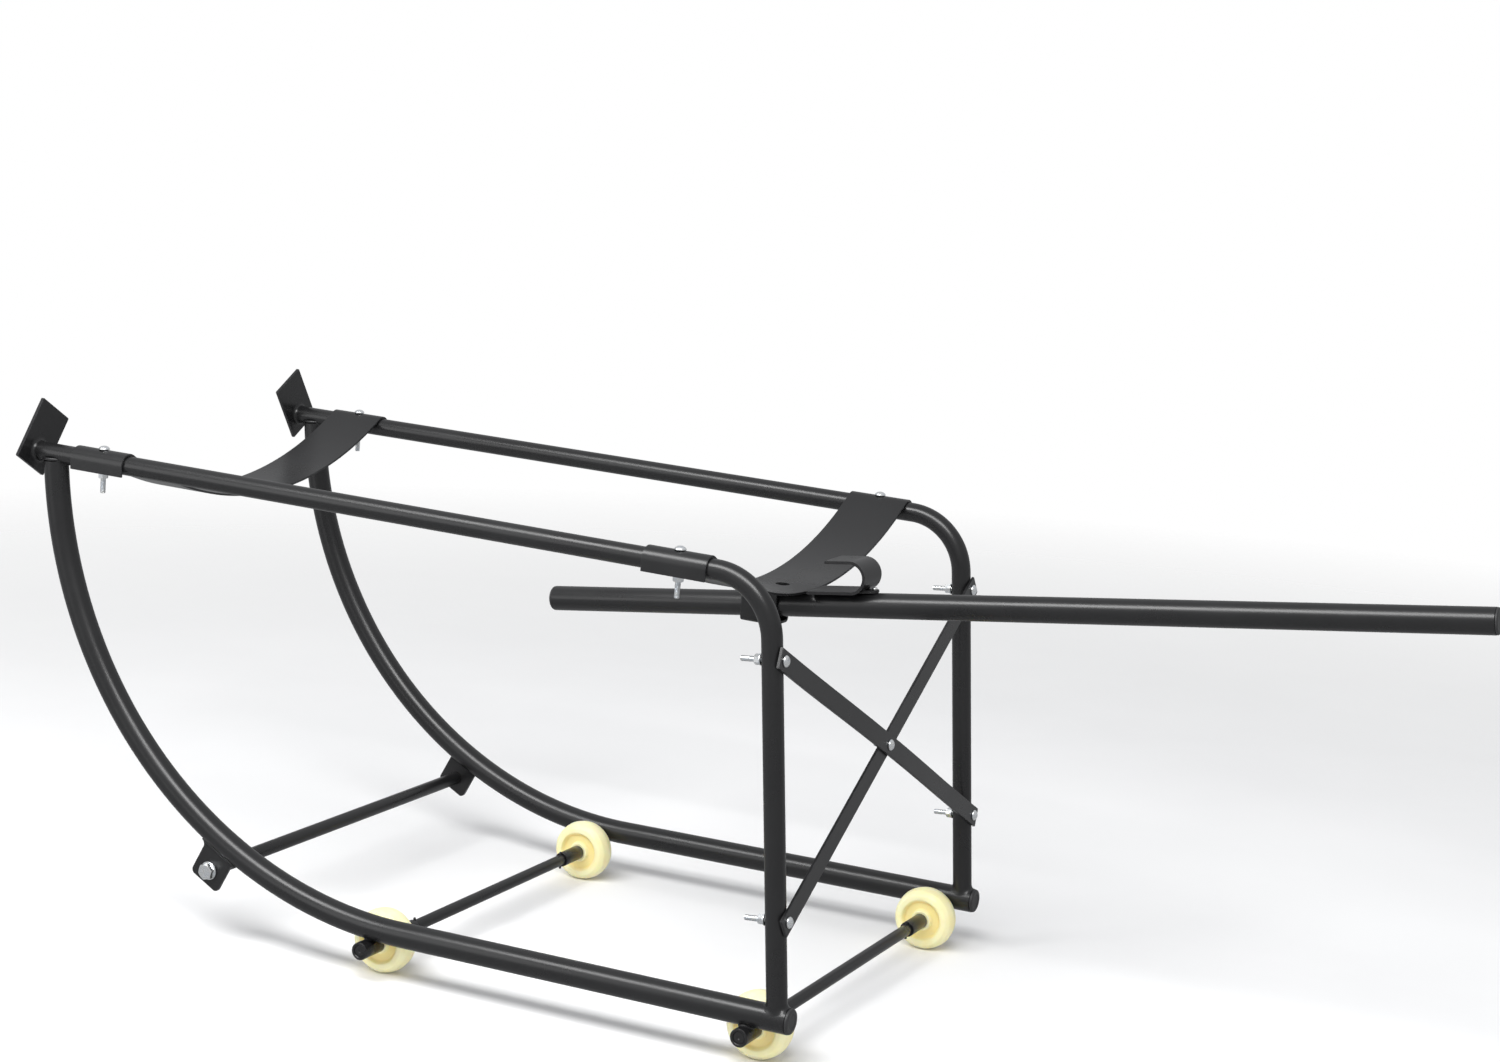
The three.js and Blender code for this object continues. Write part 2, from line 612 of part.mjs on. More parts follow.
// ---- assembly -----------------------------------------------------------------------------
for (const [side, label] of [[-1, 'right'], [1, 'left']]) {
  addSideFrame(side, label);
  addStopPlate(side, label);
}
addSaddle('front', SADDLE_FRONT_X);
addSaddle('rear', SADDLE_REAR_X);
addBrace();
addAxle('front', AXLE_FRONT_X);
addAxle('rear', AXLE_REAR_X);
addCrossRod();
addLever();

export default model;
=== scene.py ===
"""Looks of a tilting drum cradle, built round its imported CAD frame. Metres, +Z up, floor at z = 0."""

import json
import math

import bmesh
import bpy
from mathutils import Matrix, Vector, noise


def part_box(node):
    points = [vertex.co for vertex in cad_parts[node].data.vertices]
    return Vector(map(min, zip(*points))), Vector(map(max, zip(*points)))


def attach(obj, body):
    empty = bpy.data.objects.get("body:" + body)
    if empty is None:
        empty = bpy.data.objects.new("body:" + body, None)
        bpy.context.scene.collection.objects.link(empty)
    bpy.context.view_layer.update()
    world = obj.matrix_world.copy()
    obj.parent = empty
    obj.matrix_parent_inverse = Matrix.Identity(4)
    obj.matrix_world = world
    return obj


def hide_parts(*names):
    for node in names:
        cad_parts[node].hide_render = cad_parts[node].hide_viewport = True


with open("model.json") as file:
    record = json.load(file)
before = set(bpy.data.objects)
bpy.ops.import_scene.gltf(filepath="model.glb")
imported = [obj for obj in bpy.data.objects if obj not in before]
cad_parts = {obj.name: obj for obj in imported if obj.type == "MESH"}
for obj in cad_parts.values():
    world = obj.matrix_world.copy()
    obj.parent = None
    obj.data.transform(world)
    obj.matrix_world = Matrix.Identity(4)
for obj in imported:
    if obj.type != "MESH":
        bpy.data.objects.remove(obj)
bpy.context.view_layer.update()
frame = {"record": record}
record = frame["record"]

MM = 0.001
TURN = 2 * math.pi
SIDES = (("right", -1), ("left", 1))
ENDS = ("front", "rear")
X, Y, Z = Vector((1, 0, 0)), Vector((0, 1, 0)), Vector((0, 0, 1))


# ---- places read from the frame ----
def middle(node):
    low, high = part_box(node)
    return (Vector(low) + Vector(high)) / 2


def lowest(node):
    return Vector(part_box(node)[0])


def highest(node):
    return Vector(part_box(node)[1])


def joint_named(name):
    return next(j for j in record["behaviour"]["joints"] if j["name"] == name)


end_face = next(m for m in record["mounts"] if m["name"] == "end_face_left")
rail_forward = -Vector(end_face["axis"]).normalized()
rail_up = rail_forward.cross(Y)
half_width = middle("rocker_cap_left").y
post_down = (middle("brace_bolt_bottom_left") - middle("brace_bolt_top_left")).normalized()
post_forward = post_down.cross(Y)
lever_forward = Vector(joint_named("lever_slide")["axis"]).normalized()
lever_up = lever_forward.cross(Y)
lever_middle = middle("lever_tube")

# ---- sizes that a box does not give ----
GAP = 0.3 * MM
HAIR = 0.05 * MM
RAIL_R = 11.1 * MM
BEND_RADIUS = 68 * MM
ROCKER_R = 14 * MM
ROCKER_TUCK = 3 * MM
ARC_RADIUS = 492 * MM
ARC_START_X = -285 * MM
POST_FOOT = 0.9 * ROCKER_R
STOP_WIDE, STOP_TALL, STOP_THICK = 52 * MM, 75 * MM, 4 * MM
STOP_LEAN = math.radians(32.7)
TAB_HALF = 21 * MM
TAB_REACH = 547 * MM - ARC_RADIUS
SADDLE_SHEET = 2.5 * MM
SADDLE_WIDTH = 74 * MM
SADDLE_SAG = 57 * MM
SADDLE_DRAIN_R = 8 * MM
FLANGE_END = -12 * MM
BRACE_WIDE, BRACE_THICK, BRACE_OVERHANG = 22.2 * MM, 3.2 * MM, 11 * MM
BRACE_END_FLAT, BRACE_CROWN_HALF = 30 * MM, 26 * MM
AXLE_R = 6.75 * MM
BORE_R = 6.88 * MM
WHEEL_R = 36.5 * MM
WHEEL_HALF = 15 * MM
LEVER_R = 14 * MM
LEVER_WALL = 2 * MM
HOOK_SHEET, HOOK_WIDE, HOOK_CURL_R = 3.5 * MM, 45 * MM, 15 * MM
HOOK_REAR, HOOK_CURL, HOOK_LIP = -65 * MM, -13 * MM, -42 * MM
HOOK_LUG_REAR, HOOK_LUG_FRONT, HOOK_LUG_WIDE = -19 * MM, 11 * MM, 15 * MM
BRACKET_SHEET = 3 * MM

M6_R, M6_PITCH = 3 * MM, 1.0 * MM
M6_HEAD_R, M6_HEAD_TALL = 6.2 * MM, 4 * MM
M6_NUT_ACROSS, M6_NUT_TALL, M6_NUT_BORE = 10 * MM, 6 * MM, 3.05 * MM
M6_WASHER_R, M6_WASHER_BORE, M6_WASHER_TALL = 6.2 * MM, 3.3 * MM, 1.5 * MM
M10_R, M10_PITCH, M10_DEEP = 5 * MM, 1.5 * MM, 26 * MM
M10_HEAD_ACROSS, M10_HEAD_TALL = 17 * MM, 6.4 * MM
M10_WASHER_R, M10_WASHER_BORE, M10_WASHER_TALL = 10.5 * MM, 5.3 * MM, 2 * MM
SADDLE_BOLT_OUT, SADDLE_BOLT_IN = 18.2 * MM, 36 * MM
BRACE_BOLT_OUT, BRACE_BOLT_IN = 18.9 * MM, 35 * MM
CENTRE_BOLT_IN = 12 * MM

POINT_R = 1e-7
MERGE = 1e-6
SHARP, SHARP_HEXAGON, SHARP_WHEEL, SHARP_WELD = 38, 24, 60, 70

rocker_z = middle("rocker_cap_left").z
rocker_front_x = highest("rocker_left").x
arc_centre = Vector((ARC_START_X, 0, rocker_z + ARC_RADIUS))


def on_arc(radius, angle):
    return arc_centre + Vector((-radius * math.sin(angle), 0, -radius * math.cos(angle)))


def bolt_axis_point(node):
    """Where a saddle bolt's axis crosses its rail's centre line."""
    return middle(node) + rail_up * (SADDLE_BOLT_IN - SADDLE_BOLT_OUT) / 2


rail_point = bolt_axis_point("saddle_bolt_front_left")
rail_point.y = 0
post_point = middle("brace_bolt_top_left") + post_forward * (BRACE_BOLT_IN - BRACE_BOLT_OUT) / 2
post_point.y = 0


def crossing(a, a_dir, b, b_dir):
    """The point where two lines in one XZ plane cross."""
    step = b - a
    along = (step.x * b_dir.z - step.z * b_dir.x) / (a_dir.x * b_dir.z - a_dir.z * b_dir.x)
    return a + a_dir * along


corner = crossing(rail_point, rail_forward, post_point, post_down)


def on_rail(x):
    return rail_point + rail_forward * ((x - rail_point.x) / rail_forward.x)


rail_rear = on_rail(lowest("top_rail_left").x + RAIL_R * rail_up.x)


# ---- camera ----
CAMERA_PLACE = Vector((1.2622, -2.5660, 0.9829))
CAMERA_AZIMUTH, CAMERA_ELEVATION, CAMERA_ROLL = (math.radians(a) for a in (26.345, 9.392, 2.981))
CAMERA_LENS, CAMERA_SENSOR, CAMERA_NEAR = 63.10, 36, 0.05


def make_camera():
    """The photograph's view, fitted to the straight tubes of both side frames."""
    level = Vector((math.cos(CAMERA_AZIMUTH), math.sin(CAMERA_AZIMUTH), 0))
    back = level.cross(Z) * math.cos(CAMERA_ELEVATION) + Z * math.sin(CAMERA_ELEVATION)
    rise = back.cross(level)
    right = level * math.cos(CAMERA_ROLL) + rise * math.sin(CAMERA_ROLL)
    up = rise * math.cos(CAMERA_ROLL) - level * math.sin(CAMERA_ROLL)
    data = bpy.data.cameras.new("camera")
    data.sensor_width = CAMERA_SENSOR
    data.lens = CAMERA_LENS
    data.clip_start = CAMERA_NEAR
    camera = bpy.data.objects.new("camera", data)
    facing = Matrix((right, up, back)).transposed().to_4x4()
    camera.matrix_world = Matrix.Translation(CAMERA_PLACE) @ facing
    bpy.context.scene.collection.objects.link(camera)
    bpy.context.scene.camera = camera


# ---- studio ----
WORLD_LOW, WORLD_HIGH = 0.42, 0.60
WORLD_LOW_Z, WORLD_HIGH_Z = -0.1, 1.0
WORLD_TINT = (0.97, 0.98, 1.0, 1)
WHITE = (1, 1, 1, 1)
FLOOR_R, FLOOR_SOLID_R = 4.0, 1.3
LIT_POINT = Vector((0, 0, 0.3))


def softbox(name, place, size, power):
    """A rectangular area light that faces the middle of the object."""
    data = bpy.data.lights.new(name, "AREA")
    data.shape = "RECTANGLE"
    data.size, data.size_y = size
    data.energy = power
    light = bpy.data.objects.new(name, data)
    light.location = place
    light.rotation_euler = (LIT_POINT - Vector(place)).to_track_quat("-Z", "Y").to_euler()
    bpy.context.scene.collection.objects.link(light)


def set_range(node, start, end, low, high):
    """Makes a Map Range node spread start to end over low to high."""
    for socket, number in (("From Min", start), ("From Max", end), ("To Min", low), ("To Max", high)):
        node.inputs[socket].default_value = number


def make_world():
    """A grey surround, lighter above, that lights the object but looks white to the camera."""
    world = bpy.data.worlds.new("studio")
    world.use_nodes = True
    nodes, links = world.node_tree.nodes, world.node_tree.links
    lit = nodes["Background"]
    lit.inputs["Color"].default_value = WORLD_TINT
    height = nodes.new("ShaderNodeSeparateXYZ")
    links.new(nodes.new("ShaderNodeTexCoord").outputs["Generated"], height.inputs["Vector"])
    ramp = nodes.new("ShaderNodeMapRange")
    set_range(ramp, WORLD_LOW_Z, WORLD_HIGH_Z, WORLD_LOW, WORLD_HIGH)
    links.new(height.outputs["Z"], ramp.inputs["Value"])
    links.new(ramp.outputs["Result"], lit.inputs["Strength"])
    seen = nodes.new("ShaderNodeBackground")
    seen.inputs["Color"].default_value = WHITE
    mix = nodes.new("ShaderNodeMixShader")
    links.new(nodes.new("ShaderNodeLightPath").outputs["Is Camera Ray"], mix.inputs["Fac"])
    links.new(lit.outputs["Background"], mix.inputs[1])
    links.new(seen.outputs["Background"], mix.inputs[2])
    links.new(mix.outputs["Shader"], nodes["World Output"].inputs["Surface"])
    bpy.context.scene.world = world


def make_floor():
    """A round floor that catches the shadow and is not mirrored in the object."""
    bm = bmesh.new()
    bmesh.ops.create_circle(bm, cap_ends=True, segments=96, radius=FLOOR_R)
    floor = new_object(bm, "floor")
    floor.data.materials.append(floor_material())
    floor.visible_glossy = False


def make_studio():
    bpy.context.scene.view_settings.view_transform = "Standard"
    make_world()
    make_floor()
    softbox("key", place=(-0.1, -1.6, 2.4), size=(3.2, 0.9), power=92)
    softbox("left_fill", place=(-2.2, -2.6, 1.1), size=(1.6, 1.6), power=12)


# ---- materials ----
MIX_FIRST, MIX_SECOND, MIX_RESULT = 6, 7, 2  # a Mix node's colour sockets


class Shader:
    """A Principled material with short ways to add noise, ramps and bumps."""

    def __init__(self, name, **sockets):
        self.material = bpy.data.materials.new(name)
        self.material.use_nodes = True
        self.nodes = self.material.node_tree.nodes
        self.links = self.material.node_tree.links
        self.principled = self.nodes["Principled BSDF"]
        self.place = self.nodes.new("ShaderNodeTexCoord").outputs["Object"]
        for socket, value in sockets.items():
            self.principled.inputs[socket.replace("_", " ")].default_value = value

    def noise(self, per_metre, detail=4, roughness=0.55, stretch=(1, 1, 1)):
        mapping = self.nodes.new("ShaderNodeMapping")
        mapping.inputs["Scale"].default_value = stretch
        self.links.new(self.place, mapping.inputs["Vector"])
        texture = self.nodes.new("ShaderNodeTexNoise")
        texture.inputs["Scale"].default_value = per_metre
        texture.inputs["Detail"].default_value = detail
        texture.inputs["Roughness"].default_value = roughness
        self.links.new(mapping.outputs["Vector"], texture.inputs["Vector"])
        return texture.outputs["Fac"]

    def span(self, value, low, high, start=0.3, end=0.7):
        """The value between start and end, spread from low to high."""
        node = self.nodes.new("ShaderNodeMapRange")
        set_range(node, start, end, low, high)
        self.links.new(value, node.inputs["Value"])
        return node.outputs["Result"]

    def mix(self, factor, first, second):
        node = self.nodes.new("ShaderNodeMix")
        node.data_type = "RGBA"
        self.links.new(factor, node.inputs["Factor"])
        for socket, colour in ((node.inputs[MIX_FIRST], first), (node.inputs[MIX_SECOND], second)):
            if isinstance(colour, tuple):
                socket.default_value = (*colour, 1)
            else:
                self.links.new(colour, socket)
        return node.outputs[MIX_RESULT]

    def marked(self, name):
        """A number stored on the mesh's faces."""
        node = self.nodes.new("ShaderNodeAttribute")
        node.attribute_name = name
        return node.outputs["Fac"]

    def multiply(self, first, second):
        node = self.nodes.new("ShaderNodeMath")
        node.operation = "MULTIPLY"
        self.links.new(first, node.inputs[0])
        self.links.new(second, node.inputs[1])
        return node.outputs["Value"]

    def bump(self, *layers):
        """Layers of (height, distance in metres), added one on another."""
        normal = None
        for height, distance in layers:
            node = self.nodes.new("ShaderNodeBump")
            node.inputs["Distance"].default_value = distance
            self.links.new(height, node.inputs["Height"])
            if normal is not None:
                self.links.new(normal, node.inputs["Normal"])
            normal = node.outputs["Normal"]
        self.links.new(normal, self.principled.inputs["Normal"])

    def drive(self, socket, value):
        self.links.new(value, self.principled.inputs[socket])


def powder_coat():
    """Satin powder coat: fine orange peel, slow gloss changes, and edges rubbed a little lighter."""
    look = Shader("black_coat", Metallic=0.0, Specular_IOR_Level=0.5)
    black, worn = (0.010, 0.010, 0.0105), (0.055, 0.055, 0.058)
    peel = look.noise(700, detail=2)
    grain = look.noise(3800, detail=2)
    cloud = look.noise(14, detail=5)
    scuff = look.noise(160, detail=6, roughness=0.7)
    rubbed = look.multiply(look.marked("edge"), look.span(scuff, 0.25, 1, 0.38, 0.62))
    tone = look.mix(look.span(cloud, 0, 1), black, tuple(c * 1.2 for c in black))
    look.drive("Base Color", look.mix(rubbed, tone, worn))
    look.drive("Roughness", look.span(cloud, 0.25, 0.33))
    look.bump((peel, 0.022 * MM), (grain, 0.006 * MM))
    return look.material


def zinc_plate():
    """Bright zinc: a faint cloud from bluish to yellowish, and fine scratches."""
    look = Shader("bright_zinc", Metallic=1.0)
    cloud = look.noise(220, detail=5)
    scratch = look.noise(700, detail=3, stretch=(1, 1, 9))
    bluish, yellowish = (0.86, 0.90, 0.95), (0.95, 0.95, 0.92)
    look.drive("Base Color", look.mix(look.span(cloud, 0, 1), bluish, yellowish))
    look.drive("Roughness", look.span(scratch, 0.20, 0.36))
    look.bump((scratch, 0.006 * MM), (cloud, 0.006 * MM))
    return look.material


def cast_nylon():
    """Cream nylon specked with fine grit, with painted shade in the wheel's recessed faces: a deeper yellow
    tone towards the middle.
    """
    look = Shader("cream_nylon", Subsurface_Weight=0.55, Subsurface_Scale=12 * MM, IOR=1.5)
    look.principled.inputs["Subsurface Radius"].default_value = (1.0, 0.8, 0.4)
    cloud = look.noise(45, detail=4)
    grit = look.noise(1400, detail=5, roughness=0.7)
    pale, cream = (0.985, 0.915, 0.60), (0.97, 0.87, 0.49)
    # painted shade: the deeper yellow laid on the wheel's recessed faces; the dirt colour is real grit
    shaded_amber, dirt = (0.93, 0.78, 0.33), (0.62, 0.54, 0.36)
    tone = look.mix(look.span(cloud, 0, 1), pale, cream)
    tone = look.mix(look.marked("hollow_shade"), tone, shaded_amber)
    look.drive("Base Color", look.mix(look.span(grit, 0, 0.3, 0.64, 0.82), tone, dirt))
    look.drive("Roughness", look.span(grit, 0.36, 0.52))
    look.bump((grit, 0.04 * MM), (cloud, 0.12 * MM))
    return look.material


def black_plastic():
    """Matt moulded plastic with a fine grain."""
    look = Shader("black_plastic", Metallic=0.0)
    grain = look.noise(2600, detail=4)
    cloud = look.noise(60, detail=3)
    dark, light = (0.020, 0.020, 0.021), (0.034, 0.034, 0.035)
    look.drive("Base Color", look.mix(look.span(cloud, 0, 1), dark, light))
    look.drive("Roughness", look.span(grain, 0.42, 0.6))
    look.bump((grain, 0.05 * MM))
    return look.material


def floor_material():
    """Pale matt floor that fades into the white background away from the object."""
    look = Shader("pale_floor")
    cloud = look.noise(3, detail=3)
    look.drive("Base Color", look.mix(look.span(cloud, 0, 1), (0.94, 0.94, 0.94), (0.96, 0.96, 0.96)))
    look.drive("Roughness", look.span(cloud, 0.75, 0.85))
    distance = look.nodes.new("ShaderNodeVectorMath")
    distance.operation = "LENGTH"
    look.links.new(look.place, distance.inputs[0])
    look.drive("Alpha", look.span(distance.outputs["Value"], 1, 0, FLOOR_SOLID_R, 0.9 * FLOOR_R))
    return look.material


# ---- mesh building ----
def framed(x, y, z):
    """The rotation whose local axes point along x, y and z."""
    return Matrix((x, y, z)).transposed().to_4x4()


def placed(origin, forward, upward):
    """Local Z goes along forward and local X along upward."""
    z = Vector(forward).normalized()
    x = (Vector(upward) - z * z.dot(Vector(upward))).normalized()
    return Matrix.Translation(Vector(origin)) @ framed(x, z.cross(x), z)


def skin(bm, rings, around=True, along=False):
    """Joins rings of points with quads."""
    rows = [[bm.verts.new(p) for p in ring] for ring in rings]
    count = len(rows[0])
    for i in range(len(rows) if along else len(rows) - 1):
        a, b = rows[i], rows[(i + 1) % len(rows)]
        for k in range(count if around else count - 1):
            n = (k + 1) % count
            bm.faces.new((a[k], a[n], b[n], b[k]))
    return rows


def cap(bm, rows):
    """Closes both ends of a skin with one flat face each."""
    bm.faces.new(rows[0][::-1])
    bm.faces.new(rows[-1])


def cap_strip(bm, rows, count):
    """Closes both ends of a skin whose rings run count points out and count points back."""
    last = 2 * count - 1
    for row, flip in ((rows[0], True), (rows[-1], False)):
        for k in range(count - 1):
            quad = (row[k], row[k + 1], row[last - 1 - k], row[last - k])
            bm.faces.new(quad[::-1] if flip else quad)


def circle(centre, radius, first, second, count):
    points = []
    for k in range(count):
        angle = TURN * k / count
        points.append(centre + first * (radius * math.cos(angle)) + second * (radius * math.sin(angle)))
    return points


def cleaned(bm):
    """Merges points that coincide and turns all faces outwards."""
    bmesh.ops.remove_doubles(bm, verts=bm.verts, dist=MERGE)
    bmesh.ops.recalc_face_normals(bm, faces=bm.faces)


def new_object(bm, name):
    """Moves a bmesh into a new object of the scene."""
    mesh = bpy.data.meshes.new(name)
    bm.to_mesh(mesh)
    bm.free()
    made = bpy.data.objects.new(name, mesh)
    bpy.context.scene.collection.objects.link(made)
    return made


def shade(mesh, sharp):
    """Smooth shading, with a crease wherever two faces meet at more than sharp degrees."""
    mesh.shade_smooth()
    mesh.set_sharp_from_angle(angle=math.radians(sharp))


def finish(bm, name, material, body, nodes=(), matrix=None, sharp=SHARP):
    """Turns a bmesh into a piece that rides on a body and stands for CAD nodes."""
    if matrix is not None:
        bm.transform(matrix)
    cleaned(bm)
    piece = new_object(bm, name)
    shade(piece.data, sharp)
    piece.data.materials.append(material)
    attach(piece, body)
    if nodes:
        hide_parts(*nodes)
    return piece


def soften(bm, width, angle=50):
    """Rounds every edge sharper than the angle and marks the new faces as rubbed edges."""
    cleaned(bm)
    edge = bm.faces.layers.float.new("edge")
    limit = math.radians(angle)
    edges = [e for e in bm.edges if len(e.link_faces) == 2 and e.calc_face_angle(0) > limit]
    made = bmesh.ops.bevel(bm, geom=edges, offset=width, segments=2, affect="EDGES", clamp_overlap=True)
    for face in made["faces"]:
        face[edge] = 1.0


def filleted(points, steps=5):
    """A polyline whose (x, y, radius) corners are replaced by arcs."""
    line = []
    for i, (x, y, radius) in enumerate(points):
        here = Vector((x, y))
        if radius <= 0 or i in (0, len(points) - 1):
            line.append(here)
            continue
        before = (Vector(points[i - 1][:2]) - here).normalized()
        after = (Vector(points[i + 1][:2]) - here).normalized()
        half = before.angle(after) / 2
        reach = radius / math.tan(half)
        centre = here + (before + after).normalized() * (radius / math.sin(half))
        start, end = here + before * reach - centre, here + after * reach - centre
        sweep = start.angle_signed(end)
        for k in range(steps + 1):
            line.append(centre + Matrix.Rotation(-sweep * k / steps, 2) @ start)
    return [(p.x, p.y) for p in line]


def turned(bm, profile, count=48, closed=False):
    """A surface turned about local Z from (radius, height) pairs."""
    rings = [circle(Z * height, max(radius, POINT_R), X, Y, count) for radius, height in profile]
    skin(bm, rings, along=closed)


def extruded(bm, outline, depth):
    """A closed (x, y) outline made solid between z = 0 and z = depth."""
    cap(bm, skin(bm, [[Vector((x, y, z)) for x, y in outline] for z in (0, depth)]))


def swept(bm, stations, radius, count=40):
    """A round bar through (point, tangent) stations that all lie in XZ planes."""
    cap(bm, skin(bm, [circle(p, radius, t.cross(Y).normalized(), Y, count) for p, t in stations]))


BEAD_PITCH, BEAD_SPOKES, BEAD_RINGS = 2.2 * MM, 12, 4
BEAD_TAPER = 5


def bead(bm, path, radius, closed=True):
    """A powder-coated weld bead: soft overlapping scales along a path, a little uneven in width."""
    points = resampled(path, BEAD_PITCH / BEAD_RINGS, closed)
    total = len(points)
    rings = []
    side = None
    for i, p in enumerate(points):
        before = points[i - 1] if closed or i > 0 else p
        after = points[(i + 1) % total] if closed or i < total - 1 else p
        tangent = (after - before).normalized()
        side = tangent.orthogonal() if side is None else side - tangent * tangent.dot(side)
        side.normalize()
        scale = 1 + 0.03 * math.cos(TURN * i / BEAD_RINGS) + 0.09 * noise.noise(p * 110)
        if not closed:
            scale *= min(1, 0.35 + 0.65 * min(i, total - 1 - i) / BEAD_TAPER)
        rings.append(circle(p, radius * scale, side, tangent.cross(side), BEAD_SPOKES))
    rows = skin(bm, rings)
    if closed:
        join_rows(bm, rows[-1], rows[0])
    else:
        cap(bm, rows)


def join_rows(bm, last, first):
    """Closes a loop of rings whose frames may have turned on the way round."""
    count = len(last)
    shift = min(range(count), key=lambda k: (last[0].co - first[k].co).length)
    for k in range(count):
        a, b = last[k], last[(k + 1) % count]
        c, d = first[(k + 1 + shift) % count], first[(k + shift) % count]
        bm.faces.new((a, b, c, d))


def resampled(path, step, closed):
    """Evenly spaced points along a path, a whole number of bead scales in all."""
    points = list(path) + ([path[0]] if closed else [])
    lengths = [0.0]
    for a, b in zip(points, points[1:]):
        lengths.append(lengths[-1] + (b - a).length)
    count = max(2 * BEAD_RINGS, round(lengths[-1] / step / BEAD_RINGS) * BEAD_RINGS)
    result = []
    k = 0
    for i in range(count if closed else count + 1):
        at = lengths[-1] * i / count
        while k < len(lengths) - 2 and lengths[k + 1] < at:
            k += 1
        share = (at - lengths[k]) / (lengths[k + 1] - lengths[k])
        result.append(points[k].lerp(points[k + 1], share))
    return result


# ---- fasteners, along local Z with the bearing face at z = 0 ----
THREAD_SPOKES, THREAD_ROWS = 24, 6
THREAD_TOP = 0.4 * MM
CONE_SLOPE = math.tan(math.radians(30))


def thread(bm, radius, pitch, deep):
    """A helical thread from just inside the head down to -deep, with a chamfered tip."""
    depth = 0.5 * pitch
    turns = math.ceil((THREAD_TOP + deep) / pitch) + 2
    rings = []
    for row in range(turns * THREAD_ROWS):
        phase = row / THREAD_ROWS
        crest = abs((phase % 1) * 2 - 1)
        groove = depth * min(1, max(0, 1.7 * crest - 0.55))
        ring = []
        for k in range(THREAD_SPOKES):
            angle = TURN * k / THREAD_SPOKES
            height = (phase - 1 + k / THREAD_SPOKES) * pitch - deep
            held = min(max(height, -deep), THREAD_TOP)
            r = min(radius - groove, radius - 1.2 * depth + held + deep)
            ring.append(Vector((r * math.cos(angle), r * math.sin(angle), held)))
        rings.append(ring)
    rows = skin(bm, rings, around=False)
    for i in range(len(rows) - THREAD_ROWS - 1):
        last, last_next = rows[i][-1], rows[i + 1][-1]
        first, first_next = rows[i + THREAD_ROWS][0], rows[i + THREAD_ROWS + 1][0]
        bm.faces.new((last, first, first_next, last_next))
    tip = 0.05 * pitch - deep
    turned(bm, [(0, tip), (radius - 1.1 * depth, tip)], THREAD_SPOKES)


def mushroom_head(bm, radius, height):
    """A low domed head with a thin square rim."""
    profile = filleted([
        (0, 0, 0), (radius, 0, 0.25 * MM), (radius, 0.3 * height, 0.5 * height),
        (0.62 * radius, 0.97 * height, radius), (0, height, 0),
    ], 6)
    turned(bm, profile, 36)


def hexagon(bm, across, bottom, top, bore=0.0, count=48):
    """A hexagon nut or head, both ends cut back by a 30 degree cone."""
    half = across / 2
    face_r = 0.95 * half

    def ring(height, way):
        points = []
        for k in range(count):
            angle = TURN * k / count
            r = half / math.cos((angle + TURN / 12) % (TURN / 6) - TURN / 12)
            cut_back = way * CONE_SLOPE * (r - face_r)
            points.append(Vector((r * math.cos(angle), r * math.sin(angle), height + cut_back)))
        return points

    inner = max(bore, POINT_R)
    rings = [
        circle(Z * bottom, inner, X, Y, count),
        circle(Z * bottom, face_r, X, Y, count),
        ring(bottom, 1),
        ring(top, -1),
        circle(Z * top, face_r, X, Y, count),
    ]
    if bore:
        rings.append(circle(Z * top, bore + 0.35 * MM, X, Y, count))
        rings.append(circle(Z * (top - 0.4 * MM), bore, X, Y, count))
    else:
        rings.append(circle(Z * top, inner, X, Y, count))
    skin(bm, rings, along=bool(bore))


def washer(bm, outer, inner, tall):
    profile = filleted([
        (inner, 0, 0), (outer, 0, 0.25 * MM), (outer, tall, 0.3 * MM), (inner, tall, 0),
    ], 3)
    turned(bm, profile, 36, closed=True)


def make_bolt(node, origin, outward, deep):
    """A domed M6 bolt whose head stands on origin and points outward."""
    bm = bmesh.new()
    mushroom_head(bm, M6_HEAD_R, M6_HEAD_TALL)
    thread(bm, M6_R, M6_PITCH, deep)
    finish(bm, f"{node}_threaded", zinc, "frame", (node,), matrix=placed(origin, outward, Y))


def make_nut(node, origin, outward, turn):
    """A washer against origin with an M6 nut on it, both on the side that outward points to."""
    bm = bmesh.new()
    washer(bm, M6_WASHER_R, M6_WASHER_BORE, M6_WASHER_TALL)
    top = M6_WASHER_TALL + M6_NUT_TALL
    hexagon(bm, M6_NUT_ACROSS, M6_WASHER_TALL + HAIR, top, M6_NUT_BORE)
    bm.transform(Matrix.Rotation(turn, 4, "Z"))
    matrix = placed(origin, outward, Y)
    finish(bm, f"{node}_chamfered", zinc, "frame", (node,), matrix=matrix, sharp=SHARP_HEXAGON)


# ---- side frames ----
POST_WELD, PLATE_WELD = 3.6 * MM, 4.4 * MM
WELD_SPOKES = 56
PLATE_WELD_SPOKES = 60
WELD_FOOT_R = RAIL_R + 0.1 * MM


def rail_stations(y):
    """The rail from its rear end, round the bend and down to the rocker."""
    turn = rail_forward.angle(post_down)
    reach = BEND_RADIUS * math.tan(turn / 2)
    centre = corner - rail_forward * reach - rail_up * BEND_RADIUS
    stations = [(rail_rear, rail_forward)]
    steps = 28
    for i in range(steps + 1):
        a = turn * i / steps
        tangent = rail_forward * math.cos(a) - rail_up * math.sin(a)
        outward = rail_up * math.cos(a) + rail_forward * math.sin(a)
        stations.append((centre + outward * BEND_RADIUS, tangent))
    foot = corner + post_down * ((corner.z - rocker_z - POST_FOOT) / -post_down.z)
    stations.append((foot, post_down))
    return [(Vector((p.x, y, p.z)), t) for p, t in stations]


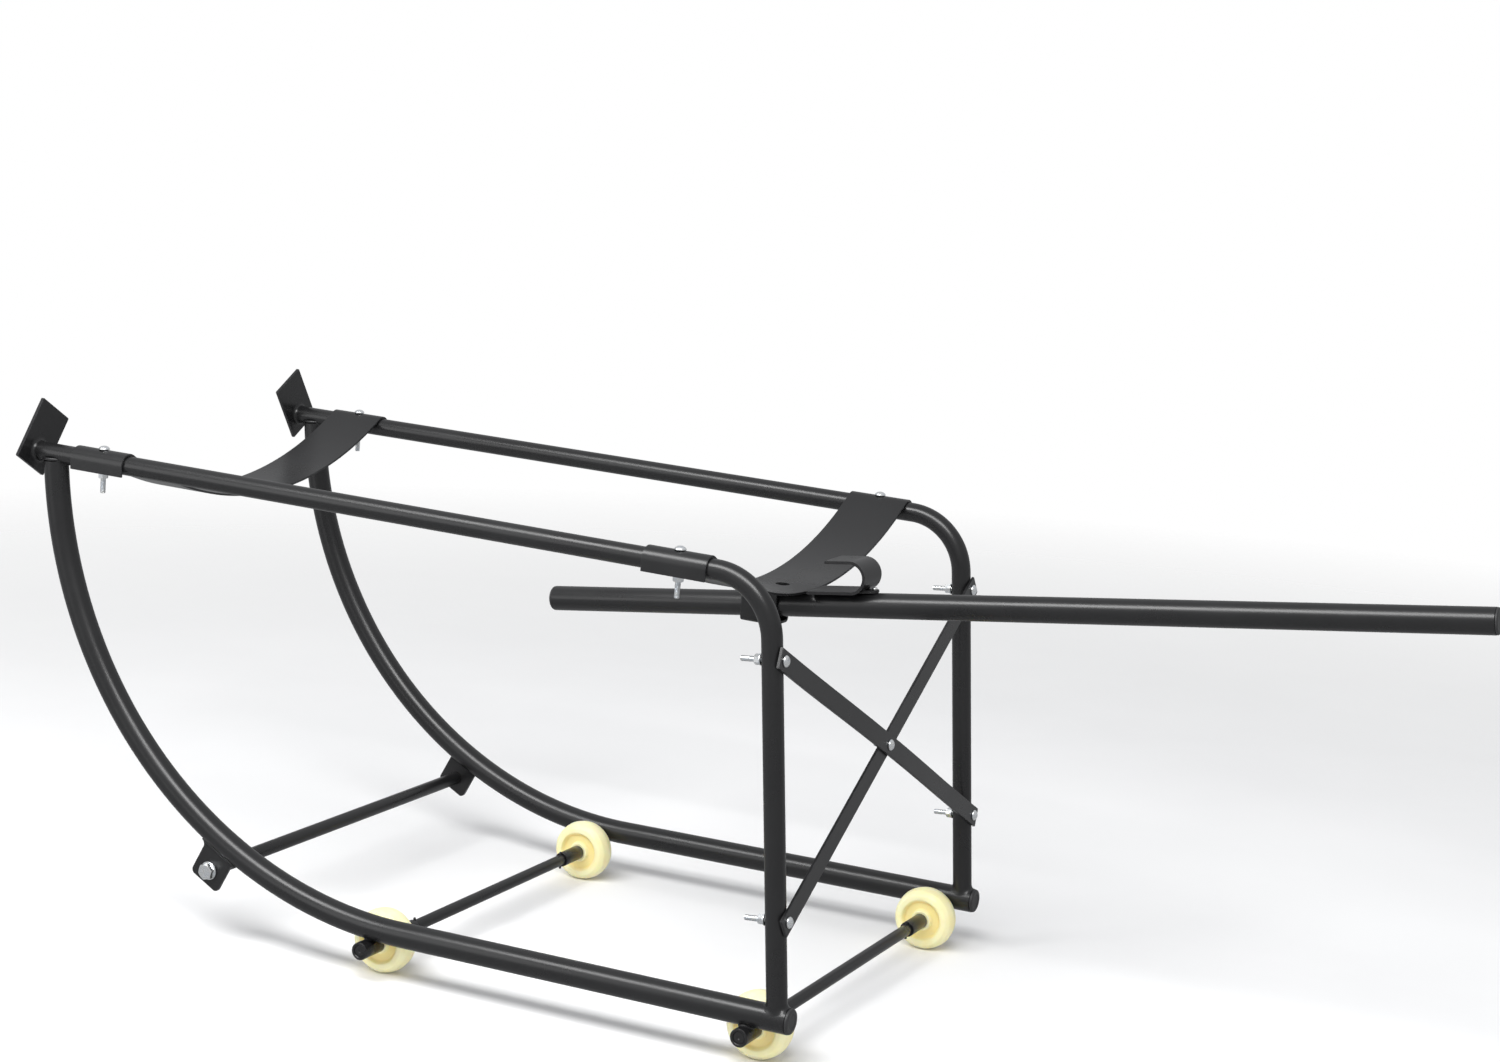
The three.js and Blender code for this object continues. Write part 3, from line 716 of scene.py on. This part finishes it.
def rocker_stations(y):
    """The rocker from its front end back along the floor and up its arc to the rail."""
    top = on_rail(ARC_START_X - ARC_RADIUS).z - RAIL_R + ROCKER_TUCK
    sweep = math.acos((arc_centre.z - top) / ARC_RADIUS)
    stations = [(Vector((rocker_front_x, y, rocker_z)), -X)]
    steps = 72
    for i in range(steps + 1):
        a = sweep * i / steps
        p = on_arc(ARC_RADIUS, a)
        stations.append((Vector((p.x, y, p.z)), Vector((-math.cos(a), 0, math.sin(a)))))
    return stations


def post_foot_weld(bm, y):
    """A smooth weld flaring from the post onto the top of the rocker."""
    widest = 0.96 * ROCKER_R

    def on_rocker(angle, reach):
        across = max(-widest, min(widest, reach * math.sin(angle)))
        z = rocker_z + math.sqrt(ROCKER_R ** 2 - across ** 2)
        axis = corner + post_down * ((corner.z - z) / -post_down.z)
        return Vector((min(axis.x + reach * math.cos(angle), rocker_front_x), y + across, z))

    upper, crease, lower = [], [], []
    for k in range(WELD_SPOKES):
        angle = TURN * k / WELD_SPOKES
        foot = on_rocker(angle, WELD_FOOT_R)
        size = POST_WELD * (1 + 0.25 * noise.noise(foot * 130))
        upper.append(foot - post_down * size * 1.3)
        crease.append(foot + Z * GAP)
        lower.append(on_rocker(angle, RAIL_R + size))
    flare(bm, upper, crease, lower)


def flare(bm, upper, crease, lower, steps=6):
    """A concave band between two rings, bent towards the crease and closed inside the parts it joins."""
    rings = []
    for i in range(steps + 1):
        t = i / steps
        parts = zip(upper, crease, lower)
        rings.append([a * (1 - t) ** 2 + b * (2 * t * (1 - t)) + c * t * t for a, b, c in parts])
    heart = sum(crease, Vector()) / len(crease)
    rings.append([point.lerp(heart, 0.3) for point in crease])
    skin(bm, rings, along=True)


def plate_weld(bm, face):
    """A smooth weld flaring from the rail's end onto its stop plate."""
    upper, crease, lower = [], [], []
    for spoke in circle(Vector(), 1, rail_up, Y, PLATE_WELD_SPOKES):
        wall = face + spoke * WELD_FOOT_R
        size = PLATE_WELD * (1 + 0.2 * noise.noise(wall * 130))
        upper.append(wall + rail_forward * size)
        crease.append(wall)
        lower.append(wall + spoke * size - rail_forward * GAP)
    flare(bm, upper, crease, lower)


def rocker_top_path(y):
    """Where the rocker's coped upper end meets the rail."""
    count = 48
    reach = ROCKER_R - 0.6 * MM
    least = (RAIL_R - 2.2 * MM) ** 2 * 0.42
    path = []
    for k in range(count):
        a = TURN * k / count
        x = arc_centre.x - ARC_RADIUS + reach * math.cos(a)
        across = reach * math.sin(a)
        drop = math.sqrt(max(RAIL_R ** 2 - across ** 2, least))
        path.append(Vector((x, y + across, on_rail(x).z - drop + 0.4 * MM)))
    return path


def sleeve_path(x, y, z, radius):
    """Round the patch where an axle sleeve meets the underside of its rocker."""
    count = 40
    height = rocker_height(x) - z
    overlap = ROCKER_R + radius - height
    wide = math.sqrt(radius ** 2 - (height - ROCKER_R) ** 2)
    path = []
    for k in range(count):
        a = TURN * k / count
        forward = wide * math.cos(a)
        top = math.sqrt(radius ** 2 - forward ** 2)
        across = math.sqrt(max(0, ROCKER_R ** 2 - (height - top) ** 2)) + 0.2 * overlap
        path.append(Vector((x + 1.12 * forward, y + math.copysign(across, math.sin(a)), z + top - 0.2 * MM)))
    return path


def rocker_height(x):
    if x >= ARC_START_X:
        return rocker_z
    return arc_centre.z - math.sqrt(ARC_RADIUS ** 2 - (x - ARC_START_X) ** 2)


def make_side_frame(label, side):
    y = side * half_width
    bm = bmesh.new()
    swept(bm, rail_stations(y), RAIL_R)
    finish(bm, f"rail_and_post_{label}", coat, "frame", (f"top_rail_{label}",))
    bm = bmesh.new()
    swept(bm, rocker_stations(y), ROCKER_R, 48)
    finish(bm, f"rocker_tube_{label}", coat, "frame", (f"rocker_{label}",))
    matrix = placed((rocker_front_x, y, rocker_z), X, Z)
    plug_r, plug_tall = ROCKER_R - 0.4 * MM, 3.6 * MM
    make_end_plug(f"rocker_cap_{label}", f"rocker_plug_{label}", "frame", plug_r, plug_tall, matrix)
    bm = bmesh.new()
    post_foot_weld(bm, y)
    bead(bm, rocker_top_path(y), 1.8 * MM)
    plate_weld(bm, Vector((rail_rear.x, y, rail_rear.z)))
    finish(bm, f"frame_welds_{label}", coat, "frame", sharp=SHARP_WELD)
    make_stop_plate(label, side)
    make_tab(label, side)
    for end in ENDS:
        make_sleeve(end, label, side)


def make_end_plug(node, name, body, radius, tall, matrix):
    """A pushed-in plug: a rim that hides the tube's wall, a soft edge and a slightly dished face."""
    spigot_r, spigot_end = radius - 2 * MM, -9 * MM
    crown_r, dish_r = radius - 4.5 * MM, radius - 6.2 * MM
    bm = bmesh.new()
    profile = filleted([
        (0, spigot_end, 0), (spigot_r, spigot_end, 0.5 * MM), (spigot_r, GAP, 0),
        (radius - 0.3 * MM, GAP, 0.2 * MM), (radius, 0.7 * MM, 0.3 * MM),
        (radius - 0.25 * MM, tall, 1.9 * MM), (crown_r, tall, 1.2 * MM),
        (dish_r, tall - 0.7 * MM, 1.2 * MM), (0, tall - 0.8 * MM, 0),
    ], 6)
    turned(bm, profile, 48)
    finish(bm, name, plastic, body, (node,), matrix=matrix)


def make_stop_plate(label, side):
    """The plate on the rail's rear end, leaning inwards at its top."""
    node = f"stop_plate_{label}"
    lean = STOP_LEAN * side
    bm = bmesh.new()
    extruded(bm, rounded_outline(STOP_WIDE, STOP_TALL, 1.6 * MM), STOP_THICK)
    soften(bm, 0.5 * MM)
    wide_way = Y * math.cos(lean) + rail_up * math.sin(lean)
    matrix = placed(middle(node) - rail_forward * STOP_THICK / 2, rail_forward, wide_way)
    finish(bm, f"end_plate_{label}", coat, "frame", (node,), matrix=matrix)


def rounded_outline(width, height, radius, steps=6):
    """A rectangle with round corners about the origin, anticlockwise."""
    points = []
    for quarter, (sx, sy) in enumerate(((1, 1), (-1, 1), (-1, -1), (1, -1))):
        centre = Vector((sx * (width / 2 - radius), sy * (height / 2 - radius)))
        for k in range(steps + 1):
            a = math.pi / 2 * (quarter + k / steps)
            points.append((centre.x + radius * math.cos(a), centre.y + radius * math.sin(a)))
    return points


def rod_angle():
    """How far up the rocker's arc the cross rod sits."""
    step = middle("cross_rod") - arc_centre
    return math.atan2(-step.x, -step.z)


def make_tab(label, side):
    """The plate that holds one end of the cross rod, buried a little in the rocker and welded along it."""
    node = f"rod_tab_{label}"
    angle = rod_angle()
    outward = Vector((-math.sin(angle), 0, -math.cos(angle)))
    near, far = lowest(node).y, highest(node).y
    root, toe, foot_half, round_r = 6 * MM, 13 * MM, TAB_HALF + 6 * MM, 6 * MM
    corners = [
        (root, -foot_half, 0), (toe, -foot_half, 0),
        (toe + 2 * MM, -TAB_HALF, round_r), (TAB_REACH, -TAB_HALF, round_r),
    ]
    corners += [(x, -y, r) for x, y, r in reversed(corners)]
    bm = bmesh.new()
    extruded(bm, filleted(corners, 8), far - near)
    soften(bm, 0.45 * MM)
    origin = on_arc(ARC_RADIUS, angle) + Y * near
    matrix = Matrix.Translation(origin) @ framed(outward, Y.cross(outward), Y)
    finish(bm, f"rod_plate_{label}", coat, "frame", (node,), matrix=matrix)
    bm = bmesh.new()
    half = (TAB_HALF + 3 * MM) / ARC_RADIUS
    steps = 24
    for face in (near, far):
        radius = ARC_RADIUS + math.sqrt(ROCKER_R ** 2 - (face - side * half_width) ** 2) + GAP
        path = [on_arc(radius, angle + half * (2 * k / steps - 1)) + Y * face for k in range(steps + 1)]
        bead(bm, path, 1.9 * MM, closed=False)
    finish(bm, f"rod_plate_welds_{label}", coat, "frame", sharp=SHARP_WELD)


def make_sleeve(end, label, side):
    """The short tube that an axle turns in, welded under the rocker."""
    node = f"axle_sleeve_{end}_{label}"
    low, high = lowest(node), highest(node)
    centre = middle(f"axle_{end}")
    outer = (high.x - low.x) / 2
    length = high.y - low.y
    bm = bmesh.new()
    profile = filleted([
        (BORE_R, 0, 0), (outer, 0, 0.5 * MM), (outer, length, 0.6 * MM),
        (BORE_R + 0.5 * MM, length, 0.4 * MM), (BORE_R, length - 0.6 * MM, 0),
    ], 4)
    turned(bm, profile, 48, closed=True)
    start = low.y if side > 0 else high.y
    matrix = placed((centre.x, start, centre.z), Y * side, Z)
    finish(bm, f"sleeve_{end}_{label}", coat, "frame", (node,), matrix=matrix)
    bm = bmesh.new()
    bead(bm, sleeve_path(centre.x, side * half_width, centre.z, outer), 2.3 * MM)
    finish(bm, f"sleeve_weld_{end}_{label}", coat, "frame", sharp=SHARP_WELD)


# ---- saddles ----
def saddle_line():
    """Points of the sheet's under side and top side, seen along the rails, from right to left."""
    inner = RAIL_R + GAP
    outer = inner + SADDLE_SHEET
    width = half_width
    radius = (width ** 2 + SADDLE_SAG ** 2 - outer ** 2) / (2 * (SADDLE_SAG + outer))
    rise = radius - SADDLE_SAG
    meet = math.atan2(rise, width)
    flange_steps, wrap_steps, bed_steps = 5, 28, 56
    under, top = [], []

    def add(centre_y, centre_z, angle, under_r, top_r):
        direction = Vector((math.cos(angle), math.sin(angle)))
        under.append(Vector((centre_y, centre_z)) + direction * under_r)
        top.append(Vector((centre_y, centre_z)) + direction * top_r)

    for k in range(flange_steps):
        z = FLANGE_END * (1 - k / flange_steps)
        under.append(Vector((-width - inner, z)))
        top.append(Vector((-width - outer, z)))
    for k in range(wrap_steps + 1):
        add(-width, 0, math.pi - (math.pi - meet) * k / wrap_steps, inner, outer)
    for k in range(1, bed_steps):
        angle = -math.pi + meet + (math.pi - 2 * meet) * k / bed_steps
        add(0, rise, angle, radius + SADDLE_SHEET, radius)
    for k in range(wrap_steps + 1):
        add(width, 0, (math.pi - meet) * (1 - k / wrap_steps), inner, outer)
    for k in range(1, flange_steps + 1):
        z = FLANGE_END * k / flange_steps
        under.append(Vector((width + inner, z)))
        top.append(Vector((width + outer, z)))
    return under, top


def make_saddle(end):
    """A bent strip with crisp edges: outer flange, over the rail, down into the bed and up again."""
    under, top = saddle_line()
    loop = under + top[::-1]
    steps = 8
    rings = []
    for step in range(steps + 1):
        along = SADDLE_WIDTH * (step / steps - 0.5)
        rings.append([Vector((along, p.x, p.y)) for p in loop])
    bm = bmesh.new()
    cap_strip(bm, skin(bm, rings), len(under))
    soften(bm, 0.45 * MM, angle=60)
    place = bolt_axis_point(f"saddle_bolt_{end}_left")
    place.y = 0
    matrix = placed(place, rail_up, rail_forward)
    piece = finish(bm, f"saddle_sheet_{end}", coat, "frame", (f"saddle_{end}",), matrix=matrix)
    low, high = -90 * MM, -40 * MM
    drain = bmesh.new()
    turned(drain, [(0, low), (SADDLE_DRAIN_R, low), (SADDLE_DRAIN_R, high), (0, high)], 48)
    cut(piece, drain, matrix)
    bearing = RAIL_R + 2 * GAP + SADDLE_SHEET
    for label, side in SIDES:
        at = place + Y * (side * half_width)
        make_bolt(f"saddle_bolt_{end}_{label}", at + rail_up * bearing, rail_up, bearing + SADDLE_BOLT_IN)
        under_rail = at - rail_up * (RAIL_R + GAP)
        make_nut(f"saddle_nut_{end}_{label}", under_rail, -rail_up, turn=0.35 * side + place.x)


def cut(piece, cutter_bm, matrix):
    """Cuts a shape out of a piece for good."""
    cutter_bm.transform(matrix)
    cleaned(cutter_bm)
    cutter = new_object(cutter_bm, "cutter")
    modifier = piece.modifiers.new("cut", "BOOLEAN")
    modifier.object = cutter
    modifier.operation = "DIFFERENCE"
    modifier.solver = "EXACT"
    bpy.context.view_layer.update()
    cut_piece = piece.evaluated_get(bpy.context.evaluated_depsgraph_get())
    mesh = bpy.data.meshes.new_from_object(cut_piece)
    piece.modifiers.remove(modifier)
    piece.data = mesh
    shade(mesh, SHARP)
    bpy.data.objects.remove(cutter)


# ---- X brace ----
brace_top, brace_bottom = middle("brace_bolt_top_left"), middle("brace_bolt_bottom_left")
BRACE_FACE = RAIL_R + GAP
BRACE_BOW = BRACE_THICK + GAP


def on_post(point):
    """Where the line through a point, square to the posts, meets a post's centre line (at y = 0)."""
    return crossing(Vector((point.x, 0, point.z)), post_forward, corner, post_down)


def make_brace_bar(name, way, bow):
    """A flat bar from post to post, bowed forwards in its middle to pass over the other bar."""
    drop = (brace_bottom - brace_top).length
    slope = math.atan2(drop, 2 * half_width)
    bar_way = Y * math.cos(slope) - post_down * (way * math.sin(slope))
    across = bar_way.cross(post_forward) * (BRACE_WIDE / 2)
    reach = math.hypot(2 * half_width, drop) / 2
    centre = on_post((brace_top + brace_bottom) / 2)
    flat, crown, end = reach - BRACE_END_FLAT, BRACE_CROWN_HALF, reach + BRACE_OVERHANG
    steps = 14
    stations = [-end] + [-flat + (flat - crown) * i / steps for i in range(steps)] + [-crown]
    stations += [-s for s in reversed(stations)]
    rings = []
    for s in stations:
        share = min(1, max(0, (flat - abs(s)) / (flat - crown)))
        lift = bow * share * share * (3 - 2 * share)
        back = centre + bar_way * s + post_forward * (BRACE_FACE + lift)
        front = back + post_forward * BRACE_THICK
        rings.append([back - across, back + across, front + across, front - across])
    bm = bmesh.new()
    cap(bm, skin(bm, rings))
    soften(bm, 0.5 * MM, angle=60)
    finish(bm, f"brace_flat_{name}", coat, "frame", (f"brace_bar_{name}",))


def make_brace():
    make_brace_bar("front", way=-1, bow=BRACE_BOW)
    make_brace_bar("rear", way=1, bow=0)
    front = BRACE_FACE + BRACE_THICK + GAP
    for label, side in SIDES:
        for end in ("top", "bottom"):
            base = on_post(middle(f"brace_bolt_{end}_{label}"))
            base.y = side * half_width
            head_at, nut_at = base + post_forward * front, base - post_forward * BRACE_FACE
            make_bolt(f"brace_bolt_{end}_{label}", head_at, post_forward, front + BRACE_BOLT_IN)
            make_nut(f"brace_nut_{end}_{label}", nut_at, -post_forward, turn=0.3 * side + base.z)
    centre = on_post((brace_top + brace_bottom) / 2)
    head = front + BRACE_BOW
    make_bolt("brace_bolt_centre", centre + post_forward * head, post_forward, head + CENTRE_BOLT_IN - RAIL_R)
    make_nut("brace_nut_centre", centre + post_forward * RAIL_R, -post_forward, turn=0.2)


# ---- axles and wheels ----
def make_axles():
    """Each axle with its wheels, collars and pins; a lathe's centre hole shows in both ends."""
    hole_r, hole_mouth_r, hole_deep = 1.2 * MM, 1.9 * MM, 0.6 * MM
    for end in ENDS:
        body = f"{end}_axle"
        centre = middle(f"axle_{end}")
        half = highest(f"axle_{end}").y
        corners = [
            (AXLE_R, half, 0.9 * MM), (hole_mouth_r, half, 0.3 * MM),
            (hole_r, half - hole_deep, 0.3 * MM), (0, half - hole_deep, 0),
        ]
        corners = [(r, -h, fillet) for r, h, fillet in reversed(corners)] + corners
        bm = bmesh.new()
        turned(bm, filleted(corners, 4), 40)
        finish(bm, f"axle_bar_{end}", coat, body, (f"axle_{end}",), matrix=placed(centre, Y, Z))
        for label, _ in SIDES:
            make_wheel(end, label, centre)
            make_collar(end, label, centre, body)
            make_pin(end, label, body)


def make_wheel(end, label, centre):
    """A moulded wheel: raised hub, deep ring groove on both faces, round shoulders and a crowned tread."""
    node = f"wheel_{end}_{label}"
    hub = [
        (BORE_R, WHEEL_HALF - 0.4 * MM, 0), (BORE_R + 0.4 * MM, WHEEL_HALF, 0),
        (11.2 * MM, WHEEL_HALF, 1.0 * MM),
    ]
    groove = [(13.2 * MM, 10.6 * MM, 1.8 * MM), (21.6 * MM, 10.2 * MM, 2.6 * MM)]
    rim = [(24.6 * MM, 14.8 * MM, 2.4 * MM), (30.5 * MM, 14.6 * MM, 3.5 * MM)]
    tread = [(34.9 * MM, 9.5 * MM, 5 * MM), (36.3 * MM, 2.5 * MM, 12 * MM)]
    seam_foot, seam_top = (WHEEL_R - 0.12 * MM, 0.35 * MM), (WHEEL_R, 0.12 * MM)
    upper = filleted(hub + groove + rim + tread + [(*seam_foot, 0)], 6) + [seam_top]
    lower = [(r, -h) for r, h in reversed(upper)]
    bm = bmesh.new()
    turned(bm, upper + lower, 72, closed=True)
    # Painted shade: marks the recessed faces inside the rim, strongest where the face lies deepest, for a
    # deeper yellow tone.
    hollow_shade = bm.faces.layers.float.new("hollow_shade")
    for face in bm.faces:
        at = face.calc_center_median()
        if math.hypot(at.x, at.y) < 26 * MM:
            face[hollow_shade] = min(1, max(0, (WHEEL_HALF - abs(at.z)) / (5 * MM)))
    matrix = placed((centre.x, middle(node).y, centre.z), Y, Z)
    name, body = f"nylon_wheel_{end}_{label}", f"{end}_{label}_wheel"
    finish(bm, name, nylon, body, (node,), matrix=matrix, sharp=SHARP_WHEEL)


def make_collar(end, label, centre, body):
    node = f"collar_{end}_{label}"
    low, high = lowest(node), highest(node)
    length = high.y - low.y
    outer = (high.z - low.z) / 2
    bore, mouth = AXLE_R + 0.1 * MM, AXLE_R + 0.5 * MM
    bm = bmesh.new()
    profile = filleted([
        (bore, 0.3 * MM, 0), (mouth, 0, 0.2 * MM), (outer, 0, 0.5 * MM),
        (outer, length, 0.5 * MM), (mouth, length, 0.2 * MM), (bore, length - 0.3 * MM, 0),
    ], 4)
    turned(bm, profile, 40, closed=True)
    matrix = placed((centre.x, low.y, centre.z), Y, Z)
    finish(bm, f"axle_collar_{end}_{label}", coat, body, (node,), matrix=matrix)


def make_pin(end, label, body):
    """A slit spring pin, narrower at both ends, across the axle beside a collar."""
    node = f"axle_pin_{end}_{label}"
    size = highest(node) - lowest(node)
    tall, radius = size.z / 2, size.x / 2
    slit = math.radians(26)
    bore_share, end_share, taper = 0.6, 0.8, 0.5 * MM
    steps = 28
    arc = [slit + (TURN - 2 * slit) * k / steps for k in range(steps + 1)]
    loop = [(radius, a) for a in arc] + [(bore_share * radius, a) for a in reversed(arc)]
    rings = []
    for z, share in ((-tall, end_share), (taper - tall, 1), (tall - taper, 1), (tall, end_share)):
        rings.append([Vector((r * share * math.cos(a), r * share * math.sin(a), z)) for r, a in loop])
    bm = bmesh.new()
    cap_strip(bm, skin(bm, rings), len(arc))
    finish(bm, f"roll_pin_{end}_{label}", coat, body, (node,), matrix=placed(middle(node), Z, X))


# ---- rear cross rod ----
def make_cross_rod():
    centre = middle("cross_rod")
    half = highest("cross_rod").y
    radius = (highest("cross_rod").z - lowest("cross_rod").z) / 2
    bm = bmesh.new()
    profile = filleted([
        (0, -half, 0), (radius, -half, 0.8 * MM), (radius, half, 0.8 * MM), (0, half, 0),
    ], 4)
    turned(bm, profile, 40)
    finish(bm, "cross_rod_bar", coat, "frame", ("cross_rod",), matrix=placed(centre, Y, Z))
    for label, side in SIDES:
        make_rod_bolt(label, side, centre)


def make_rod_bolt(label, side, centre):
    """An M10 hexagon bolt with its washer, screwed into the rod's end from outside the plate."""
    tab = f"rod_tab_{label}"
    face = (highest(tab).y if side > 0 else lowest(tab).y) + side * GAP
    bm = bmesh.new()
    washer(bm, M10_WASHER_R, M10_WASHER_BORE, M10_WASHER_TALL)
    hexagon(bm, M10_HEAD_ACROSS, M10_WASHER_TALL + HAIR, M10_WASHER_TALL + M10_HEAD_TALL)
    thread(bm, M10_R, M10_PITCH, M10_DEEP)
    bm.transform(Matrix.Rotation(0.25, 4, "Z"))
    matrix = placed((centre.x, face, centre.z), Y * side, Z)
    name, node = f"hex_bolt_{label}", f"rod_bolt_{label}"
    finish(bm, name, zinc, "frame", (node,), matrix=matrix, sharp=SHARP_HEXAGON)


# ---- lever, hook and bracket ----
def make_lever():
    """The tube with its two plugs, the hook on top and the bracket it slides in."""
    half = (highest("lever_tube") - lowest("lever_tube")).x / 2
    half = (half - LEVER_R * abs(lever_forward.z)) / lever_forward.x
    inner = LEVER_R - LEVER_WALL
    bm = bmesh.new()
    profile = filleted([
        (inner, -half, 0), (LEVER_R, -half, 0.5 * MM), (LEVER_R, half, 0.5 * MM), (inner, half, 0),
    ], 4)
    turned(bm, profile, 56, closed=True)
    matrix = placed(lever_middle, lever_forward, lever_up)
    finish(bm, "lever_bar", coat, "lever", ("lever_tube",), matrix=matrix)
    plug_r, plug_tall = LEVER_R - 0.2 * MM, 3.0 * MM
    for end, way in (("front", 1), ("rear", -1)):
        matrix = placed(lever_middle + lever_forward * (way * half), lever_forward * way, lever_up)
        make_end_plug(f"lever_plug_{end}", f"lever_end_plug_{end}", "lever", plug_r, plug_tall, matrix)
    make_hook()
    make_bracket()


def make_hook():
    """Spring strip lying on the lever and curled over rearwards into an open hook."""
    at_corner = crossing(corner, Z, lever_middle, lever_forward)
    base = LEVER_R + GAP
    outer_r = HOOK_CURL_R + HOOK_SHEET
    centre = base + outer_r
    outer, inner = [], []
    steps = 40
    for k in range(steps + 1):
        a = math.pi * (k / steps - 0.5)
        outer.append((HOOK_CURL + outer_r * math.cos(a), centre + outer_r * math.sin(a)))
        inner.append((HOOK_CURL + HOOK_CURL_R * math.cos(a), centre + HOOK_CURL_R * math.sin(a)))
    outline = [(HOOK_REAR, base)] + outer + [(HOOK_LIP, centre + outer_r), (HOOK_LIP, centre + HOOK_CURL_R)]
    outline += inner[::-1] + [(HOOK_REAR, base + HOOK_SHEET)]
    bm = bmesh.new()
    extruded(bm, outline, HOOK_WIDE)
    soften(bm, 0.45 * MM, angle=60)
    left_edge = at_corner + Y * (HOOK_WIDE / 2)
    matrix = Matrix.Translation(left_edge) @ framed(lever_forward, lever_up, -Y)
    finish(bm, "hook_strip", coat, "lever", ("hook",), matrix=matrix)
    bm = bmesh.new()
    outline = rounded_outline(HOOK_LUG_FRONT - HOOK_LUG_REAR, HOOK_LUG_WIDE, 7 * MM)
    extruded(bm, outline, HOOK_SHEET - 0.4 * MM)
    soften(bm, 0.4 * MM, angle=60)
    lug_at = at_corner + lever_forward * (HOOK_LUG_FRONT + HOOK_LUG_REAR) / 2 + lever_up * base
    finish(bm, "hook_tongue", coat, "lever", matrix=placed(lug_at, lever_up, lever_forward))
    screw_at = at_corner + lever_forward * (6.5 * MM) + lever_up * (base + HOOK_SHEET + GAP)
    make_hook_screw(screw_at)


def make_hook_screw(place):
    """A small M4 pan screw with a recess in its head."""
    head_r, head_tall = 3.2 * MM, 2.2 * MM
    bm = bmesh.new()
    profile = filleted([
        (0, 0, 0), (head_r, 0, 0.2 * MM), (head_r, 1.2 * MM, 0.6 * MM), (1.4 * MM, head_tall, 0.8 * MM),
        (0.9 * MM, 1.3 * MM, 0.1 * MM), (0, 1.2 * MM, 0),
    ], 4)
    turned(bm, profile, 32)
    thread(bm, radius=2 * MM, pitch=0.7 * MM, deep=12 * MM)
    matrix = placed(place, lever_up, Y)
    finish(bm, "hook_fixing_screw", zinc, "lever", ("hook_screw",), matrix=matrix)


def make_bracket():
    """A U of flat strip welded under the front saddle; the lever lies in it."""
    node = "lever_bracket"
    low, high = lowest(node), highest(node)
    half = high.y
    top = -(SADDLE_SAG + SADDLE_SHEET + GAP)
    bottom = low.z - on_rail(bolt_axis_point("saddle_bolt_front_left").x).z + 0.4 * MM
    inner_half, inner_bottom = half - BRACKET_SHEET, bottom + BRACKET_SHEET
    outer = [(-half, top, 0), (-half, bottom, 5 * MM), (half, bottom, 5 * MM), (half, top, 0)]
    inner = [
        (inner_half, top, 0), (inner_half, inner_bottom, 2 * MM),
        (-inner_half, inner_bottom, 2 * MM), (-inner_half, top, 0),
    ]
    length = (high.x - low.x) * 0.985
    bm = bmesh.new()
    extruded(bm, filleted(outer, 8) + filleted(inner, 8), length)
    soften(bm, 0.45 * MM, angle=60)
    origin = on_rail(middle(node).x) - rail_forward * length / 2
    origin.y = 0
    matrix = Matrix.Translation(origin) @ framed(Y, rail_up, rail_forward)
    finish(bm, "lever_strap", coat, "frame", (node,), matrix=matrix)
    bm = bmesh.new()
    steps = 12
    for _, side in SIDES:
        start = origin + Y * (side * half) + rail_up * (top + 0.2 * MM)
        path = [start + rail_forward * (length * k / steps) for k in range(steps + 1)]
        bead(bm, path, 2.0 * MM, closed=False)
    finish(bm, "lever_strap_welds", coat, "frame", sharp=SHARP_WELD)


# ---- build ----
make_camera()
coat = powder_coat()
zinc = zinc_plate()
nylon = cast_nylon()
plastic = black_plastic()
make_studio()
for label, side in SIDES:
    make_side_frame(label, side)
for end in ENDS:
    make_saddle(end)
make_brace()
make_axles()
make_cross_rod()
make_lever()
